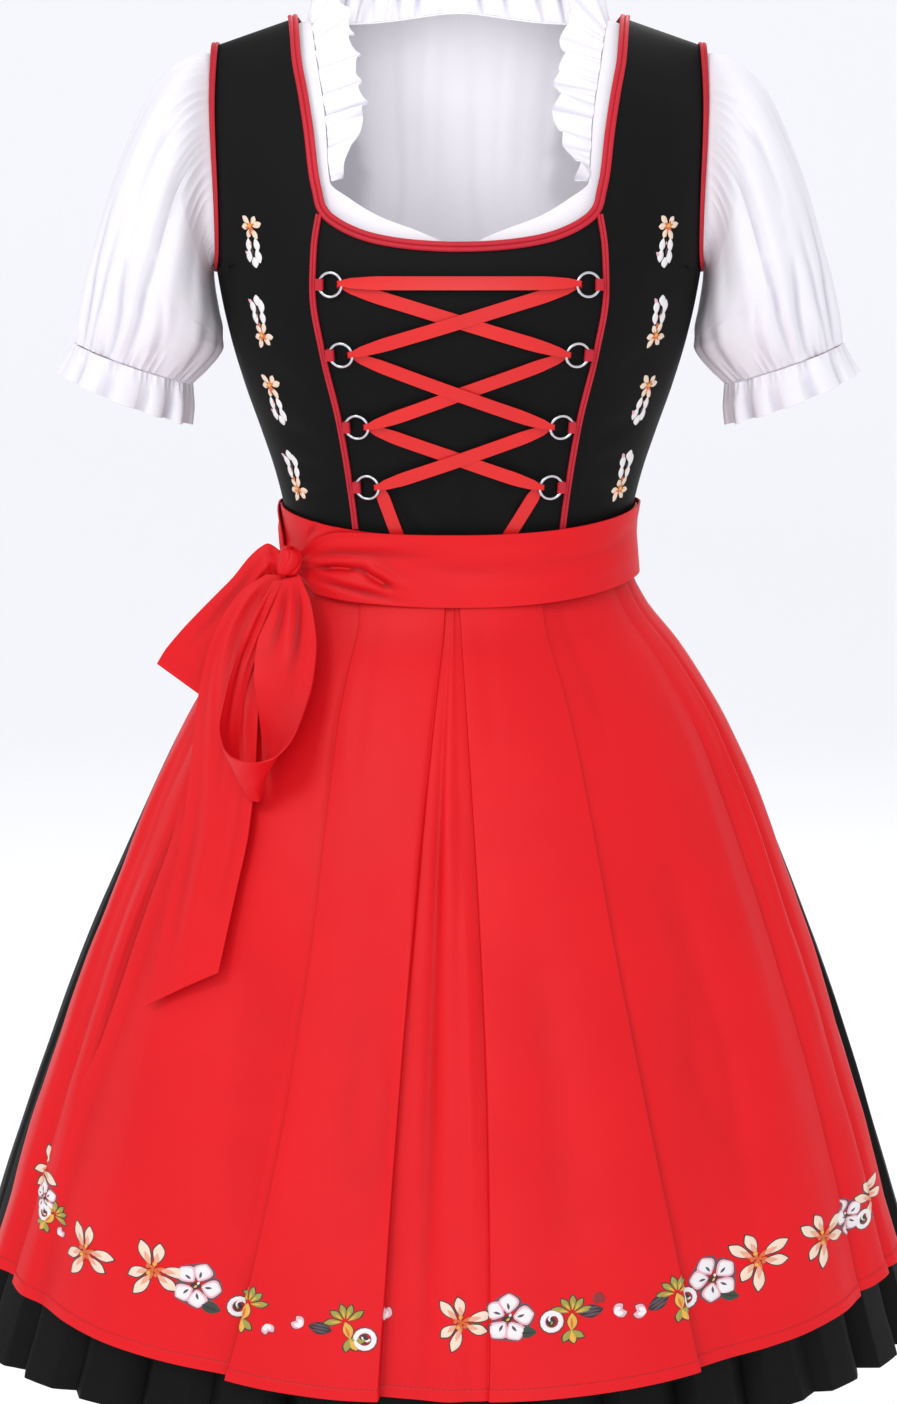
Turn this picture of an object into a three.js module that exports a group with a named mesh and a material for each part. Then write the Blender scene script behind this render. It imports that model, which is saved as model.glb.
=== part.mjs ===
// A dirndl, worn open and hollow: a laced bodice with a pleated skirt, a puff-sleeved blouse under it,
// and an apron over it whose ties go round the waist and end in a bow. Millimetres, +Z up, the front
// faces -Y, and the origin is the middle of the shoulder line, where the wearer's shoulders hold the
// dress.
//
// Every cloth piece is a wall: a grid of points on a surface, moved out along the surface's normal, and
// the same points a cloth's thickness further in. The bodice and blouse lie on one torso surface, the
// skirt and apron on one flared surface, and what is sewn on a panel is made from that panel's surface,
// moved out.
import * as THREE from "three";

// ---- Driving dimensions ----
const SEAM_GAP = 0.3; // between two pieces that touch
const PANEL_GAP = 0.6; // between two panels along a seam
const TRIM_LIFT = 1.0; // bindings and piping, off the cloth they are sewn to
const BODICE_THICK = 1.6; // lined cotton twill
const SKIRT_THICK = 1.2;
const APRON_THICK = 1.2;
const BLOUSE_THICK = 1.0;
const TIE_THICK = 1.2;
const BLOUSE_INSET = 4.8; // the blouse's face lies this far inside the bodice's face
const APRON_LIFT = { waist: 0.5, hem: 2 }; // the apron's valleys, off the skirt's crests
const WAIST_SEAM_Z = -395;
const WAIST_DIP = 16; // the waistline is this much lower at the front than at the sides
const SKIRT_HEM_Z = -1032;
const APRON_HEM_Z = -996;
const APRON_CORNER_RISE = 46; // the apron's lower corners hang higher than its middle
const BAND_HEIGHT = 54; // waistband and ties
const BAND_TOP_Z = -371;
const RIBBON_WIDTH = 10;
const RIBBON_THICK = 1.0;
const RING_RADIUS = 8.8; // to the middle of the wire
const RING_WIRE = 1.1; // radius of the wire
const SHOULDER_SLOPE = 0.34;
const STRAP_INNER_X = 125;

const LOOK = {
  black: { color: 0x161617, roughness: 0.85, metalness: 0 },
  red: { color: 0xd8202a, roughness: 0.6, metalness: 0 },
  trim: { color: 0xc4202c, roughness: 0.5, metalness: 0 },
  white: { color: 0xf4f2f4, roughness: 0.8, metalness: 0 },
  steel: { color: 0xb9bcc2, roughness: 0.25, metalness: 1 },
};

// ---- The form the dress is cut for ----
// Level sections of the torso: half its width, and its depth to the front and to the back of the side
// seams.
const TORSO = [
  { z: -418, half: 131, front: 94, back: 87, mid: 0 },
  { z: -395, half: 133.6, front: 96.8, back: 88.6, mid: 0 },
  { z: -371, half: 138, front: 101, back: 91, mid: 0 },
  { z: -345, half: 144.5, front: 105, back: 94, mid: 0 },
  { z: -316, half: 154, front: 110, back: 98, mid: 0 },
  { z: -280, half: 166.5, front: 118, back: 102, mid: 0 },
  { z: -246, half: 176.5, front: 126, back: 105, mid: 0 },
  { z: -215, half: 183.5, front: 129, back: 107, mid: 0 },
  { z: -188, half: 188, front: 128, back: 109, mid: 0 },
  { z: -150, half: 193, front: 120, back: 110, mid: 0 },
  { z: -110, half: 196, front: 107, back: 109, mid: 1 },
  { z: -70, half: 198, front: 87, back: 101, mid: 3 },
  { z: -40, half: 199, front: 65, back: 86, mid: 6 },
  { z: -15, half: 199, front: 39, back: 58, mid: 8 },
  { z: -3, half: 199, front: 18, back: 27, mid: 9 },
  { z: 0, half: 199, front: 0, back: 0, mid: 9 },
];
const TORSO_SQUARE = 2.3; // how square a section is: 2 is an ellipse

// Level sections of the flared skirt, at the crests of its pleats.
const FLARE = [
  { z: -396, half: 131, front: 94, back: 88 },
  { z: -420, half: 133, front: 98, back: 92 },
  { z: -445, half: 144, front: 106, back: 104 },
  { z: -480, half: 173, front: 126, back: 130 },
  { z: -531, half: 208, front: 151, back: 160 },
  { z: -580, half: 233, front: 170, back: 180 },
  { z: -629, half: 255, front: 187, back: 198 },
  { z: -677, half: 276, front: 202, back: 214 },
  { z: -740, half: 302, front: 219, back: 233 },
  { z: -830, half: 335, front: 243, back: 258 },
  { z: -949, half: 373, front: 272, back: 288 },
  { z: -1032, half: 399, front: 290, back: 306 },
];
const FLARE_SQUARE = 2.0;
const SKIRT_SWAY = -11.6; // the hem hangs this far to the wearer's right of the waist

const FRONT_SEAM = [
  // the princess seam, from the waist up to the neckline's corner
  { z: -420, x: 75 },
  { z: -375, x: 79 },
  { z: -305, x: 89 },
  { z: -251, x: 101 },
  { z: -205, x: 108 },
  { z: -175, x: 107 },
  { z: -142, x: 102 },
];
const STRAP_INNER = [
  // the strap's edge, from the neckline's corner up to the shoulder
  { z: -142, x: 102 },
  { z: -80, x: 110 },
  { z: -35, x: 119 },
  { z: 0, x: STRAP_INNER_X },
];
const STRAP_OUTER_SHARE = 0.945; // of the torso's half width
const UNDERARM_Z = -188;
const ARMHOLE_WIDEST_Z = -110;
const NECK_FRONT = { z: -170, cornerZ: -142, cornerX: 102 };
const BACK_NECK_Z = -72;
const SHOULDER_ROOT = 0.02; // the panels stop just short of the shoulder line, where they are sewn together

// ---- Small helpers ----
const degrees = (angle) => (angle * Math.PI) / 180;
const mix = (a, b, t) => a + (b - a) * t;
const clamp = (x, low, high) => Math.min(high, Math.max(low, x));
const ease = (low, high, x) => {
  const t = clamp((x - low) / (high - low), 0, 1);
  return t * t * (3 - 2 * t);
};
const power = (x, p) => Math.sign(x) * Math.abs(x) ** p;
const vec = (x, y, z) => new THREE.Vector3(x, y, z);

// A smooth curve through one column of a table, read at a value of its key column. The key rises or
// falls.
function column(table, key, name, warp = (x) => x) {
  const rows = [...table].sort((a, b) => warp(a[key]) - warp(b[key]));
  const x = rows.map((row) => warp(row[key]));
  const y = rows.map((row) => row[name]);
  const last = rows.length - 1;
  const slope = x.map((_, i) => {
    if (i === 0 || i === last) {
      const j = i === 0 ? 0 : last - 1;
      return (y[j + 1] - y[j]) / (x[j + 1] - x[j]);
    }
    const before = (y[i] - y[i - 1]) / (x[i] - x[i - 1]);
    const after = (y[i + 1] - y[i]) / (x[i + 1] - x[i]);
    return before * after <= 0 ? 0 : (2 * before * after) / (before + after);
  });
  return (value) => {
    const at = clamp(warp(value), x[0], x[last]);
    let i = 0;
    while (i < last - 1 && at > x[i + 1]) i += 1;
    const span = x[i + 1] - x[i];
    const t = (at - x[i]) / span;
    const t2 = t * t;
    const t3 = t2 * t;
    return (
      y[i] * (2 * t3 - 3 * t2 + 1) +
      slope[i] * span * (t3 - 2 * t2 + t) +
      y[i + 1] * (3 * t2 - 2 * t3) +
      slope[i + 1] * span * (t3 - t2)
    );
  };
}

// Near the shoulder the torso turns level, so its sections are read by the root of their depth below it.
const rootDepth = (z) => Math.sqrt(Math.max(0, -z));
const torsoHalf = column(TORSO, "z", "half", rootDepth);
const torsoFront = column(TORSO, "z", "front", rootDepth);
const torsoBack = column(TORSO, "z", "back", rootDepth);
const torsoMid = column(TORSO, "z", "mid", rootDepth);
const flareHalf = column(FLARE, "z", "half");
const flareFront = column(FLARE, "z", "front");
const flareBack = column(FLARE, "z", "back");
const seamX = column(FRONT_SEAM, "z", "x");
const strapX = column(STRAP_INNER, "z", "x", rootDepth);

// A point of the torso: angle 0 is the front, 90 the wearer's left side, 180 the back; root is
// rootDepth(z).
function torso(angle, root) {
  const z = -root * root;
  const s = Math.sin(degrees(angle));
  const c = Math.cos(degrees(angle));
  const x = torsoHalf(z) * power(s, 2 / TORSO_SQUARE);
  const depth = c > 0 ? torsoFront(z) : torsoBack(z);
  const y = torsoMid(z) - depth * power(c, 2 / TORSO_SQUARE);
  const slope = SHOULDER_SLOPE * (1 - ease(0, 130, -z));
  return vec(x, y, z - slope * (Math.abs(x) - STRAP_INNER_X));
}

// The torso angle at a distance x from the middle, on the front or the back.
function torsoAngle(x, root, back = false) {
  const share = clamp(x / torsoHalf(-root * root), -1, 1);
  const angle = (Math.asin(power(share, TORSO_SQUARE / 2)) * 180) / Math.PI;
  return back ? 180 - angle : angle;
}

// The armhole's edge: how far round from the middle the panel reaches at each height, as an angle from
// its middle.
function armholeAngle(root) {
  const z = -root * root;
  if (z <= UNDERARM_Z) return 90;
  const fall = clamp((z - ARMHOLE_WIDEST_Z) / (UNDERARM_Z - ARMHOLE_WIDEST_Z), 0, 1);
  const share = 1 - (1 - STRAP_OUTER_SHARE) * Math.sqrt(1 - fall * fall);
  return (Math.asin(share ** (TORSO_SQUARE / 2)) * 180) / Math.PI;
}

// The waistline's dip below its level at the side seams.
const dip = (angle) => -WAIST_DIP * Math.max(0, Math.cos(degrees(angle))) ** 1.5;

function flareAt(angle, level) {
  const s = power(Math.sin(degrees(angle)), 2 / FLARE_SQUARE);
  const c = power(Math.cos(degrees(angle)), 2 / FLARE_SQUARE);
  const z = level - dip(angle) * ease(-640, -430, level);
  const sway = SKIRT_SWAY * clamp((z + 445) / (SKIRT_HEM_Z + 445), 0, 1.1);
  return vec(sway + flareHalf(z) * s, -(c > 0 ? flareFront(z) : flareBack(z)) * c, level);
}

// The flared surface moved out level by some millimetres.
function flare(angle, z, out = 0) {
  const base = flareAt(angle, z);
  const ahead = flareAt(angle + 0.5, z).sub(flareAt(angle - 0.5, z)).normalize();
  return base.add(vec(ahead.y, -ahead.x, 0).multiplyScalar(out));
}

// ---- Making solids ----
const object = new THREE.Group();

function meshOf(name, look, vertices, triangles) {
  const positions = new Float32Array(vertices.length * 3);
  vertices.forEach((v, i) => positions.set([v.x, v.y, v.z], i * 3));
  let six = 0;
  for (const [a, b, c] of triangles) {
    six += vertices[a].dot(vertices[b].clone().cross(vertices[c]));
  }
  const facing = six < 0 ? triangles.map(([a, b, c]) => [a, c, b]) : triangles;
  const geometry = new THREE.BufferGeometry();
  geometry.setAttribute("position", new THREE.BufferAttribute(positions, 3));
  geometry.setIndex(facing.flat());
  geometry.computeVertexNormals();
  const mesh = new THREE.Mesh(geometry, new THREE.MeshStandardMaterial(LOOK[look]));
  mesh.name = name;
  object.add(mesh);
}

const evenly = (count) => Array.from({ length: count + 1 }, (_, i) => i / count);

function normalAt(surface, u, v, turn) {
  const step = 0.004;
  const du = surface(Math.min(1, u + step), v).sub(surface(Math.max(0, u - step), v));
  const dv = surface(u, Math.min(1, v + step)).sub(surface(u, Math.max(0, v - step)));
  return du.cross(dv).normalize().multiplyScalar(turn);
}

// A wall of cloth on surface(u, v), where u runs to the wearer's left across the front and v runs up. Its
// face is moved out by lift, and thick millimetres of cloth lie behind it. across and up are the shares
// at which it is sampled; a closed wall joins its last column to its first; turn is -1 where u runs the
// other way.
function wall(name, look, surface, options) {
  const { across, up, closed = false, lift = 0, thick, turn = 1 } = options;
  const columns = Array.isArray(across) ? across : evenly(across);
  const rows = Array.isArray(up) ? up : evenly(up);
  const used = closed ? columns.slice(0, -1) : columns;
  const wide = used.length;
  const tall = rows.length;
  const faces = [[], []];
  rows.forEach((v) =>
    used.forEach((u) => {
      const at = surface(u, v);
      const normal = normalAt(surface, u, v, turn);
      faces[0].push(at.clone().addScaledVector(normal, lift));
      faces[1].push(at.clone().addScaledVector(normal, lift - thick));
    }),
  );
  const layer = wide * tall;
  const at = (i, j, face) => face * layer + j * wide + (i % wide);
  const triangles = [];
  const quad = (a, b, c, d) => triangles.push([a, b, c], [a, c, d]);
  const spans = closed ? wide : wide - 1;
  for (let i = 0; i < spans; i += 1) {
    for (let j = 0; j < tall - 1; j += 1) {
      quad(at(i, j, 0), at(i + 1, j, 0), at(i + 1, j + 1, 0), at(i, j + 1, 0));
      quad(at(i, j, 1), at(i, j + 1, 1), at(i + 1, j + 1, 1), at(i + 1, j, 1));
    }
    quad(at(i, 0, 1), at(i + 1, 0, 1), at(i + 1, 0, 0), at(i, 0, 0));
    quad(at(i, tall - 1, 0), at(i + 1, tall - 1, 0), at(i + 1, tall - 1, 1), at(i, tall - 1, 1));
  }
  if (!closed) {
    for (let j = 0; j < tall - 1; j += 1) {
      quad(at(0, j, 1), at(0, j, 0), at(0, j + 1, 0), at(0, j + 1, 1));
      quad(at(wide - 1, j, 0), at(wide - 1, j, 1), at(wide - 1, j + 1, 1), at(wide - 1, j + 1, 0));
    }
  }
  meshOf(name, look, [...faces[0], ...faces[1]], triangles);
}

// A solid swept along stations {at, side, out}: outline points are [sideways, outwards] from each
// station. Its ends are closed by triangulating the outline.
function sweep(name, look, stations, outline, closed = false) {
  const flatOutline = outline.map(([s, n]) => new THREE.Vector2(s, n));
  const round = THREE.ShapeUtils.area(flatOutline) < 0 ? [...outline].reverse() : outline;
  const size = round.length;
  const vertices = stations.flatMap(({ at, side, out, scale = 1 }) =>
    round.map(([s, n]) => at.clone().addScaledVector(side, s * scale).addScaledVector(out, n)),
  );
  const triangles = [];
  const count = stations.length;
  const spans = closed ? count : count - 1;
  for (let i = 0; i < spans; i += 1) {
    for (let k = 0; k < size; k += 1) {
      const next = (k + 1) % size;
      const [a, b] = [i * size + k, i * size + next];
      const [c, d] = [((i + 1) % count) * size + next, ((i + 1) % count) * size + k];
      triangles.push([a, b, c], [a, c, d]);
    }
  }
  if (!closed) {
    const points = round.map(([s, n]) => new THREE.Vector2(s, n));
    const end = (count - 1) * size;
    for (const [a, b, c] of THREE.ShapeUtils.triangulateShape(points, [])) {
      const [p, q, r] = [points[a], points[b], points[c]];
      const turned = (q.x - p.x) * (r.y - p.y) - (q.y - p.y) * (r.x - p.x) < 0;
      const [one, two] = turned ? [c, b] : [b, c];
      triangles.push([a, two, one], [end + a, end + one, end + two]);
    }
  }
  meshOf(name, look, vertices, triangles);
}

const rounded = (width, thick, low) => [
  [-width / 2, low],
  [width / 2, low],
  [width / 2, low + thick * 0.45],
  [0, low + thick],
  [-width / 2, low + thick * 0.45],
];

const SIDES = [
  { name: "right", hand: -1 },
  { name: "left", hand: 1 },
];

// ---- Places on the torso ----
const neckZ = (x) => {
  const share = Math.min(1, Math.abs(x) / NECK_FRONT.cornerX);
  return mix(NECK_FRONT.z, NECK_FRONT.cornerZ, 0.5 * share ** 2 + 0.5 * share ** 6);
};
const arcDegrees = (length, root) => ((length / torsoHalf(-root * root)) * 180) / Math.PI;

function torsoNormal(angle, root) {
  if (root < 0.4) return vec(0, 0, 1);
  const across = torso(angle + 0.3, root).sub(torso(angle - 0.3, root));
  const rise = torso(angle, root - 0.05).sub(torso(angle, root + 0.05));
  return across.cross(rise).normalize();
}

// Stations along a path of (angle, root) pairs on the torso.
function torsoStations(path, closed = false) {
  const points = path.map(([angle, root]) => torso(angle, root));
  const last = path.length - 1;
  return path.map(([angle, root], i) => {
    const next = points[closed ? (i + 1) % path.length : Math.min(last, i + 1)];
    const back = points[closed ? (i + last) % path.length : Math.max(0, i - 1)];
    const along = next.clone().sub(back).normalize();
    const side = along.clone().cross(torsoNormal(angle, root)).normalize();
    return { at: points[i], side, out: side.clone().cross(along).normalize() };
  });
}

// A quarter of a bodice or blouse, from the waist to the shoulder: its inner edge runs along the middle
// or a seam and then the neck, and its outer edge up the side seam and round the armhole. rows holds
// heights at the side seam.
function quarter(name, look, hand, options) {
  const { back = false, innerX, foot, rows, across, reach, top = SHOULDER_ROOT, ...walling } = options;
  const side = rootDepth(foot(1));
  const outwards = (hand < 0) === back; // whether u runs from the inner edge to the outer
  const surface = (u, v) => {
    const out = outwards ? u : 1 - u;
    const root = mix(rootDepth(foot(out)), top, v);
    const inner = torsoAngle(innerX(-root * root) + PANEL_GAP / 2, root);
    const angle = mix(inner, reach(root), out);
    return torso(hand * (back ? 180 - angle : angle), root);
  };
  const up = rows.map((z) => (side - rootDepth(z)) / (side - top));
  const columns = outwards ? across : across.map((share) => 1 - share).reverse();
  wall(name, look, surface, { across: columns, up: [0, ...up, 1], ...walling });
}

// ---- Bodice ----
const FRONT_COLUMNS = [0, 0.18, 0.36, 0.54, 0.7, 0.85, 1]; // shares from a panel's inner edge to its outer
const BACK_COLUMNS = [0, 0.24, 0.45, 0.62, 0.76, 0.89, 1];
const SIDE_ROWS = [-362, -310, -250, -212, -188, -180, -162, -141, -110, -72, -40, -15, -3];
const BACK_ROWS = [-360, -300, -235, -188, -178, -150, -110, -72, -70, -64, -50, -30, -12, -3];
const bodiceReach = (root) => armholeAngle(root) - arcDegrees(PANEL_GAP / 2, root);
const backNeckX = (z) => (z <= BACK_NECK_Z ? 0 : STRAP_INNER_X * (1 - z / BACK_NECK_Z) ** (1 / 3));

function bodice() {
  const centre = (u, v) => {
    const reach = u * 2 - 1;
    const foot = rootDepth(WAIST_SEAM_Z + dip(reach * 36));
    const root = mix(foot, rootDepth(neckZ(reach * NECK_FRONT.cornerX)), v);
    return torso(torsoAngle(reach * (seamX(-root * root) - PANEL_GAP / 2), root), root);
  };
  wall("bodice_centre", "black", centre, { across: 10, up: 9, thick: BODICE_THICK });
  for (const { name, hand } of SIDES) {
    quarter(`bodice_front_${name}`, "black", hand, {
      innerX: (z) => (z < NECK_FRONT.cornerZ ? seamX(z) : strapX(z)),
      foot: (share) => WAIST_SEAM_Z + dip(mix(36, 90, share)),
      reach: bodiceReach,
      across: FRONT_COLUMNS,
      rows: SIDE_ROWS,
      thick: BODICE_THICK,
    });
    quarter(`bodice_back_${name}`, "black", hand, {
      back: true,
      innerX: backNeckX,
      foot: () => WAIST_SEAM_Z,
      reach: bodiceReach,
      across: BACK_COLUMNS,
      rows: BACK_ROWS,
      thick: BODICE_THICK,
    });
  }
}

// ---- Bindings and piping ----
const NECK_BINDING = { width: 7.6, thick: 1.9 };
const ARM_BINDING = { width: 6, thick: 1.7 };
const SEAM_PIPING = { width: 5, thick: 1.7 };
const OVERHANG = 1; // a binding reaches this far past the cloth's edge

function neckPath() {
  const inset = NECK_BINDING.width / 2 - OVERHANG;
  const right = [];
  for (const x of [0, 24, 46, 66, 82, 93]) {
    const root = rootDepth(neckZ(x) - inset * 0.9);
    right.push([torsoAngle(x, root), root]);
  }
  for (const z of [-143, -134, -118, -90, -62, -38, -18, -6, -1]) {
    const root = rootDepth(z);
    right.push([torsoAngle(strapX(z) + inset, root), root]);
  }
  right.push([torsoAngle(STRAP_INNER_X + inset, 0), 0]);
  for (const share of [0.99, 0.95, 0.87, 0.76, 0.6, 0.4, 0.2, 0]) {
    const root = rootDepth(BACK_NECK_Z * (1 - share ** 3) - inset * (1 - share));
    right.push([torsoAngle((STRAP_INNER_X + inset) * share, root, true), root]);
  }
  const left = right.slice(1, -1).reverse();
  return [...right, ...left.map(([angle, root]) => [-angle, root])];
}

function armholePath(hand) {
  const inset = ARM_BINDING.width / 2 - OVERHANG;
  const front = [-1, -6, -16, -34, -60, -95, -130, -158, -175, -184].map((z) => {
    const root = rootDepth(z - (z < -150 ? inset * 0.9 : 0));
    return [armholeAngle(rootDepth(z)) - arcDegrees(inset, root) * 1.35, root];
  });
  const foot = [90, rootDepth(UNDERARM_Z - inset)];
  const back = front.map(([angle, root]) => [180 - angle, root]).reverse();
  const top = [armholeAngle(0) - arcDegrees(inset, 0) * 1.35, 0];
  return [top, ...front, foot, ...back].map(([angle, root]) => [hand * angle, root]);
}

function bindings() {
  const neck = rounded(NECK_BINDING.width, NECK_BINDING.thick, TRIM_LIFT);
  sweep("binding_neckline", "trim", torsoStations(neckPath(), true), neck, true);
  for (const { name, hand } of SIDES) {
    const arm = rounded(ARM_BINDING.width, ARM_BINDING.thick, TRIM_LIFT);
    sweep(`binding_armhole_${name}`, "trim", torsoStations(armholePath(hand), true), arm, true);
    const seam = evenly(9).map((t) => {
      const root = rootDepth(mix(-384, NECK_FRONT.cornerZ - 9.6, t));
      return [hand * torsoAngle(seamX(-root * root), root), root];
    });
    const piping = rounded(SEAM_PIPING.width, SEAM_PIPING.thick, TRIM_LIFT);
    sweep(`piping_seam_${name}`, "trim", torsoStations(seam), piping);
  }
}

// ---- Lacing ----
const RINGS = [
  { z: -200, x: 94 },
  { z: -251, x: 86.5 },
  { z: -305, x: 75.5 },
  { z: -351, x: 68 },
];
const TAB = { width: 8.5, thick: 0.9, slack: 1.2 }; // slack, because the wire curves and the tape does not
const RING_HEIGHT = TRIM_LIFT + TAB.thick + 0.6 + RING_WIRE; // the wire's middle, off the bodice

// At a point of the front: the place, the level direction along the cloth, its outward normal and its
// rise.
function frontFrame(x, z, height = 0) {
  const root = rootDepth(z);
  const angle = torsoAngle(x, root);
  const level = torso(angle + 0.3, root).sub(torso(angle - 0.3, root)).normalize();
  const out = torsoNormal(angle, root);
  return { at: torso(angle, root).addScaledVector(out, height), level, out, rise: out.clone().cross(level) };
}

function ringsAndTabs() {
  RINGS.forEach(({ x, z }, i) =>
    SIDES.forEach(({ name, hand }) => {
      const frame = frontFrame(hand * x, z, RING_HEIGHT);
      const ring = new THREE.Mesh(
        new THREE.TorusGeometry(RING_RADIUS, RING_WIRE, 5, 12),
        new THREE.MeshStandardMaterial(LOOK.steel),
      );
      ring.name = `ring_${name}_${i + 1}`;
      ring.position.copy(frame.at);
      ring.setRotationFromMatrix(new THREE.Matrix4().makeBasis(frame.level, frame.rise, frame.out));
      object.add(ring);
      tab(`tab_${name}_${i + 1}`, frame, hand, x, z);
    }),
  );
}

// A folded tape from the princess seam, round the ring's outer wire and back on itself.
function tab(name, frame, hand, x, z) {
  const inner = RING_WIRE + SEAM_GAP;
  const outer = inner + TAB.thick;
  const reach = seamX(z) - SEAM_PIPING.width / 2 - SEAM_GAP - (x + RING_RADIUS);
  const bend = [90, 45, 0, -45, -90].map(degrees);
  const outline = [
    [reach, inner],
    ...bend.map((t) => [-TAB.slack - inner * Math.cos(t), inner * Math.sin(t)]),
    [reach, -inner],
    [reach, -outer],
    ...bend.map((t) => [-TAB.slack - outer * Math.cos(t), -outer * Math.sin(t)]),
    [reach, outer],
  ];
  const ends = [-TAB.width / 2, TAB.width / 2].map((along) => ({
    at: frame.at.clone().addScaledVector(frame.level, hand * RING_RADIUS).addScaledVector(frame.rise, along),
    side: frame.level.clone().multiplyScalar(hand),
    out: frame.out,
  }));
  sweep(name, "trim", ends, outline);
}

// One ribbon: up from the waist through the rings on alternate sides, across the top, and down the other
// way. It reaches each ring under or over the wire and leaves on the other side of it.
const LACE_ORDER = [
  { ring: 3, hand: -1, first: "under", bow: 0 },
  { ring: 2, hand: 1, first: "under", bow: 1 },
  { ring: 1, hand: -1, first: "under", bow: 1 },
  { ring: 0, hand: 1, first: "under", bow: 1 },
  { ring: 0, hand: -1, first: "over", bow: 0 },
  { ring: 1, hand: 1, first: "over", bow: -1 },
  { ring: 2, hand: -1, first: "over", bow: -1 },
  { ring: 3, hand: 1, first: "over", bow: -1 },
];
const LACE_FEET = { start: -43, finish: 32, z: -397 };
const LACE_CROSSING = 0.9; // how far one strand stands off another's middle, either way
const LACE_GATHERED = 0.42; // the ribbon's share of its width inside a ring
const LACE_SLACK = 1.5; // how far it stands off the wire inside a ring

function lacing() {
  const wrap = RING_WIRE + 0.6 + RIBBON_THICK / 2;
  const sides = {
    under: { height: RING_HEIGHT - wrap, rise: -1.2 },
    over: { height: RING_HEIGHT + wrap, rise: 1.2 },
  };
  const stations = [];
  const place = (ring, hand, which) => ({
    x: hand * (RINGS[ring].x - RING_RADIUS),
    z: RINGS[ring].z + sides[which].rise,
    height: sides[which].height,
  });
  const run = (from, to, bow) => {
    for (const t of [0.1, 0.25, 0.4, 0.5, 0.6, 0.75, 0.9]) {
      const crossing = Math.max(0, 1 - Math.abs(t - 0.5) / 0.3) * LACE_CROSSING * bow;
      const height = mix(from.height, to.height, t) + crossing;
      const frame = frontFrame(mix(from.x, to.x, t), mix(from.z, to.z, t), height);
      stations.push({ ...frame, scale: t === 0.1 || t === 0.9 ? 0.85 : 1 });
    }
  };
  const underHeight = sides.under.height;
  let from = { x: LACE_FEET.start, z: LACE_FEET.z, height: underHeight };
  stations.push(frontFrame(from.x, from.z, from.height));
  for (const { ring, hand, first, bow } of LACE_ORDER) {
    const then = first === "under" ? "over" : "under";
    run(from, place(ring, hand, first), bow);
    const frame = frontFrame(hand * (RINGS[ring].x - RING_RADIUS), RINGS[ring].z, RING_HEIGHT);
    const turns = [-80, -27, 27, 80].map((t) => (first === "under" ? t : -t));
    for (const turn of turns.map(degrees)) {
      const radial = frame.out
        .clone()
        .multiplyScalar(Math.sin(turn))
        .addScaledVector(frame.level, hand * Math.cos(turn));
      const at = frame.at
        .clone()
        .addScaledVector(radial, wrap)
        .addScaledVector(frame.level, hand * LACE_SLACK * Math.cos(turn))
        .addScaledVector(frame.rise, sides.over.rise * Math.sin(turn));
      stations.push({ at, side: frame.rise, out: radial, wrapped: true, scale: LACE_GATHERED });
    }
    from = place(ring, hand, then);
  }
  const last = { x: LACE_FEET.finish, z: LACE_FEET.z, height: underHeight };
  run(from, last, 0);
  stations.push(frontFrame(last.x, last.z, last.height));
  // Between the rings the ribbon lies across its own path; in a ring it lies along the wire.
  let facing = 1;
  const made = stations.map((station, i) => {
    if (i > 0 && station.out.dot(stations[i - 1].out) < -0.2) facing = -facing;
    const out = station.out.clone().multiplyScalar(facing);
    if (station.wrapped) return { ...station, out };
    const next = stations[Math.min(stations.length - 1, i + 1)].at;
    const along = next.clone().sub(stations[Math.max(0, i - 1)].at).normalize();
    const across = along.cross(station.out).normalize();
    return { ...station, out, side: across.dot(station.rise) < 0 ? across.negate() : across };
  });
  const half = RIBBON_THICK / 2;
  const wide = RIBBON_WIDTH / 2;
  sweep("lacing", "trim", made, [[-wide, -half], [wide, -half], [wide, half], [-wide, half]]);
}

// ---- Skirt ----
const PLEATS = 36;
const PLEAT_DEPTH = { waist: 2.2, hem: 15 };
// Places in one pleat, as shares of its width, and how deep the cloth lies there.
const PLEAT_SHAPE = [
  { place: 0, depth: 1 },
  { place: 0.2, depth: 0 },
  { place: 0.72, depth: 0.12 },
];
const SKIRT_ROWS = [0, 0.44, 0.73, 0.865, 0.925, 0.962, 1];

// Angles that cut the hem into equal lengths, from the middle of the back round to it again.
const hemAngles = (() => {
  const steps = 720;
  const along = [0];
  for (let i = 1; i <= steps; i += 1) {
    const a = flareAt(-180 + ((i - 1) * 360) / steps, SKIRT_HEM_Z);
    const b = flareAt(-180 + (i * 360) / steps, SKIRT_HEM_Z);
    along.push(along[i - 1] + a.distanceTo(b));
  }
  return (share) => {
    const want = clamp(share, 0, 1) * along[steps];
    let i = 1;
    while (i < steps && along[i] < want) i += 1;
    const t = (want - along[i - 1]) / (along[i] - along[i - 1]);
    return -180 + ((i - 1 + t) * 360) / steps;
  };
})();

const pleatSize = (k) => 0.78 + 0.2 * Math.sin((k % PLEATS) * 2.4) + 0.08 * Math.sin((k % PLEATS) * 5.1 + 1);

function pleatDepth(share, z) {
  const at = share * PLEATS;
  const k = Math.floor(at);
  const t = at - k;
  const rows = [...PLEAT_SHAPE, { place: 1, depth: 1 }];
  let i = 0;
  while (i < rows.length - 2 && t > rows[i + 1].place) i += 1;
  const part = (t - rows[i].place) / (rows[i + 1].place - rows[i].place);
  const shape = mix(rows[i].depth, rows[i + 1].depth, part);
  const size = mix(pleatSize(k), pleatSize(k + 1), ease(0.5, 1, t));
  const open = clamp((WAIST_SEAM_Z - z) / (WAIST_SEAM_Z - SKIRT_HEM_Z), 0, 1) ** 0.8;
  return -shape * size * mix(PLEAT_DEPTH.waist, PLEAT_DEPTH.hem, open);
}

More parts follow.
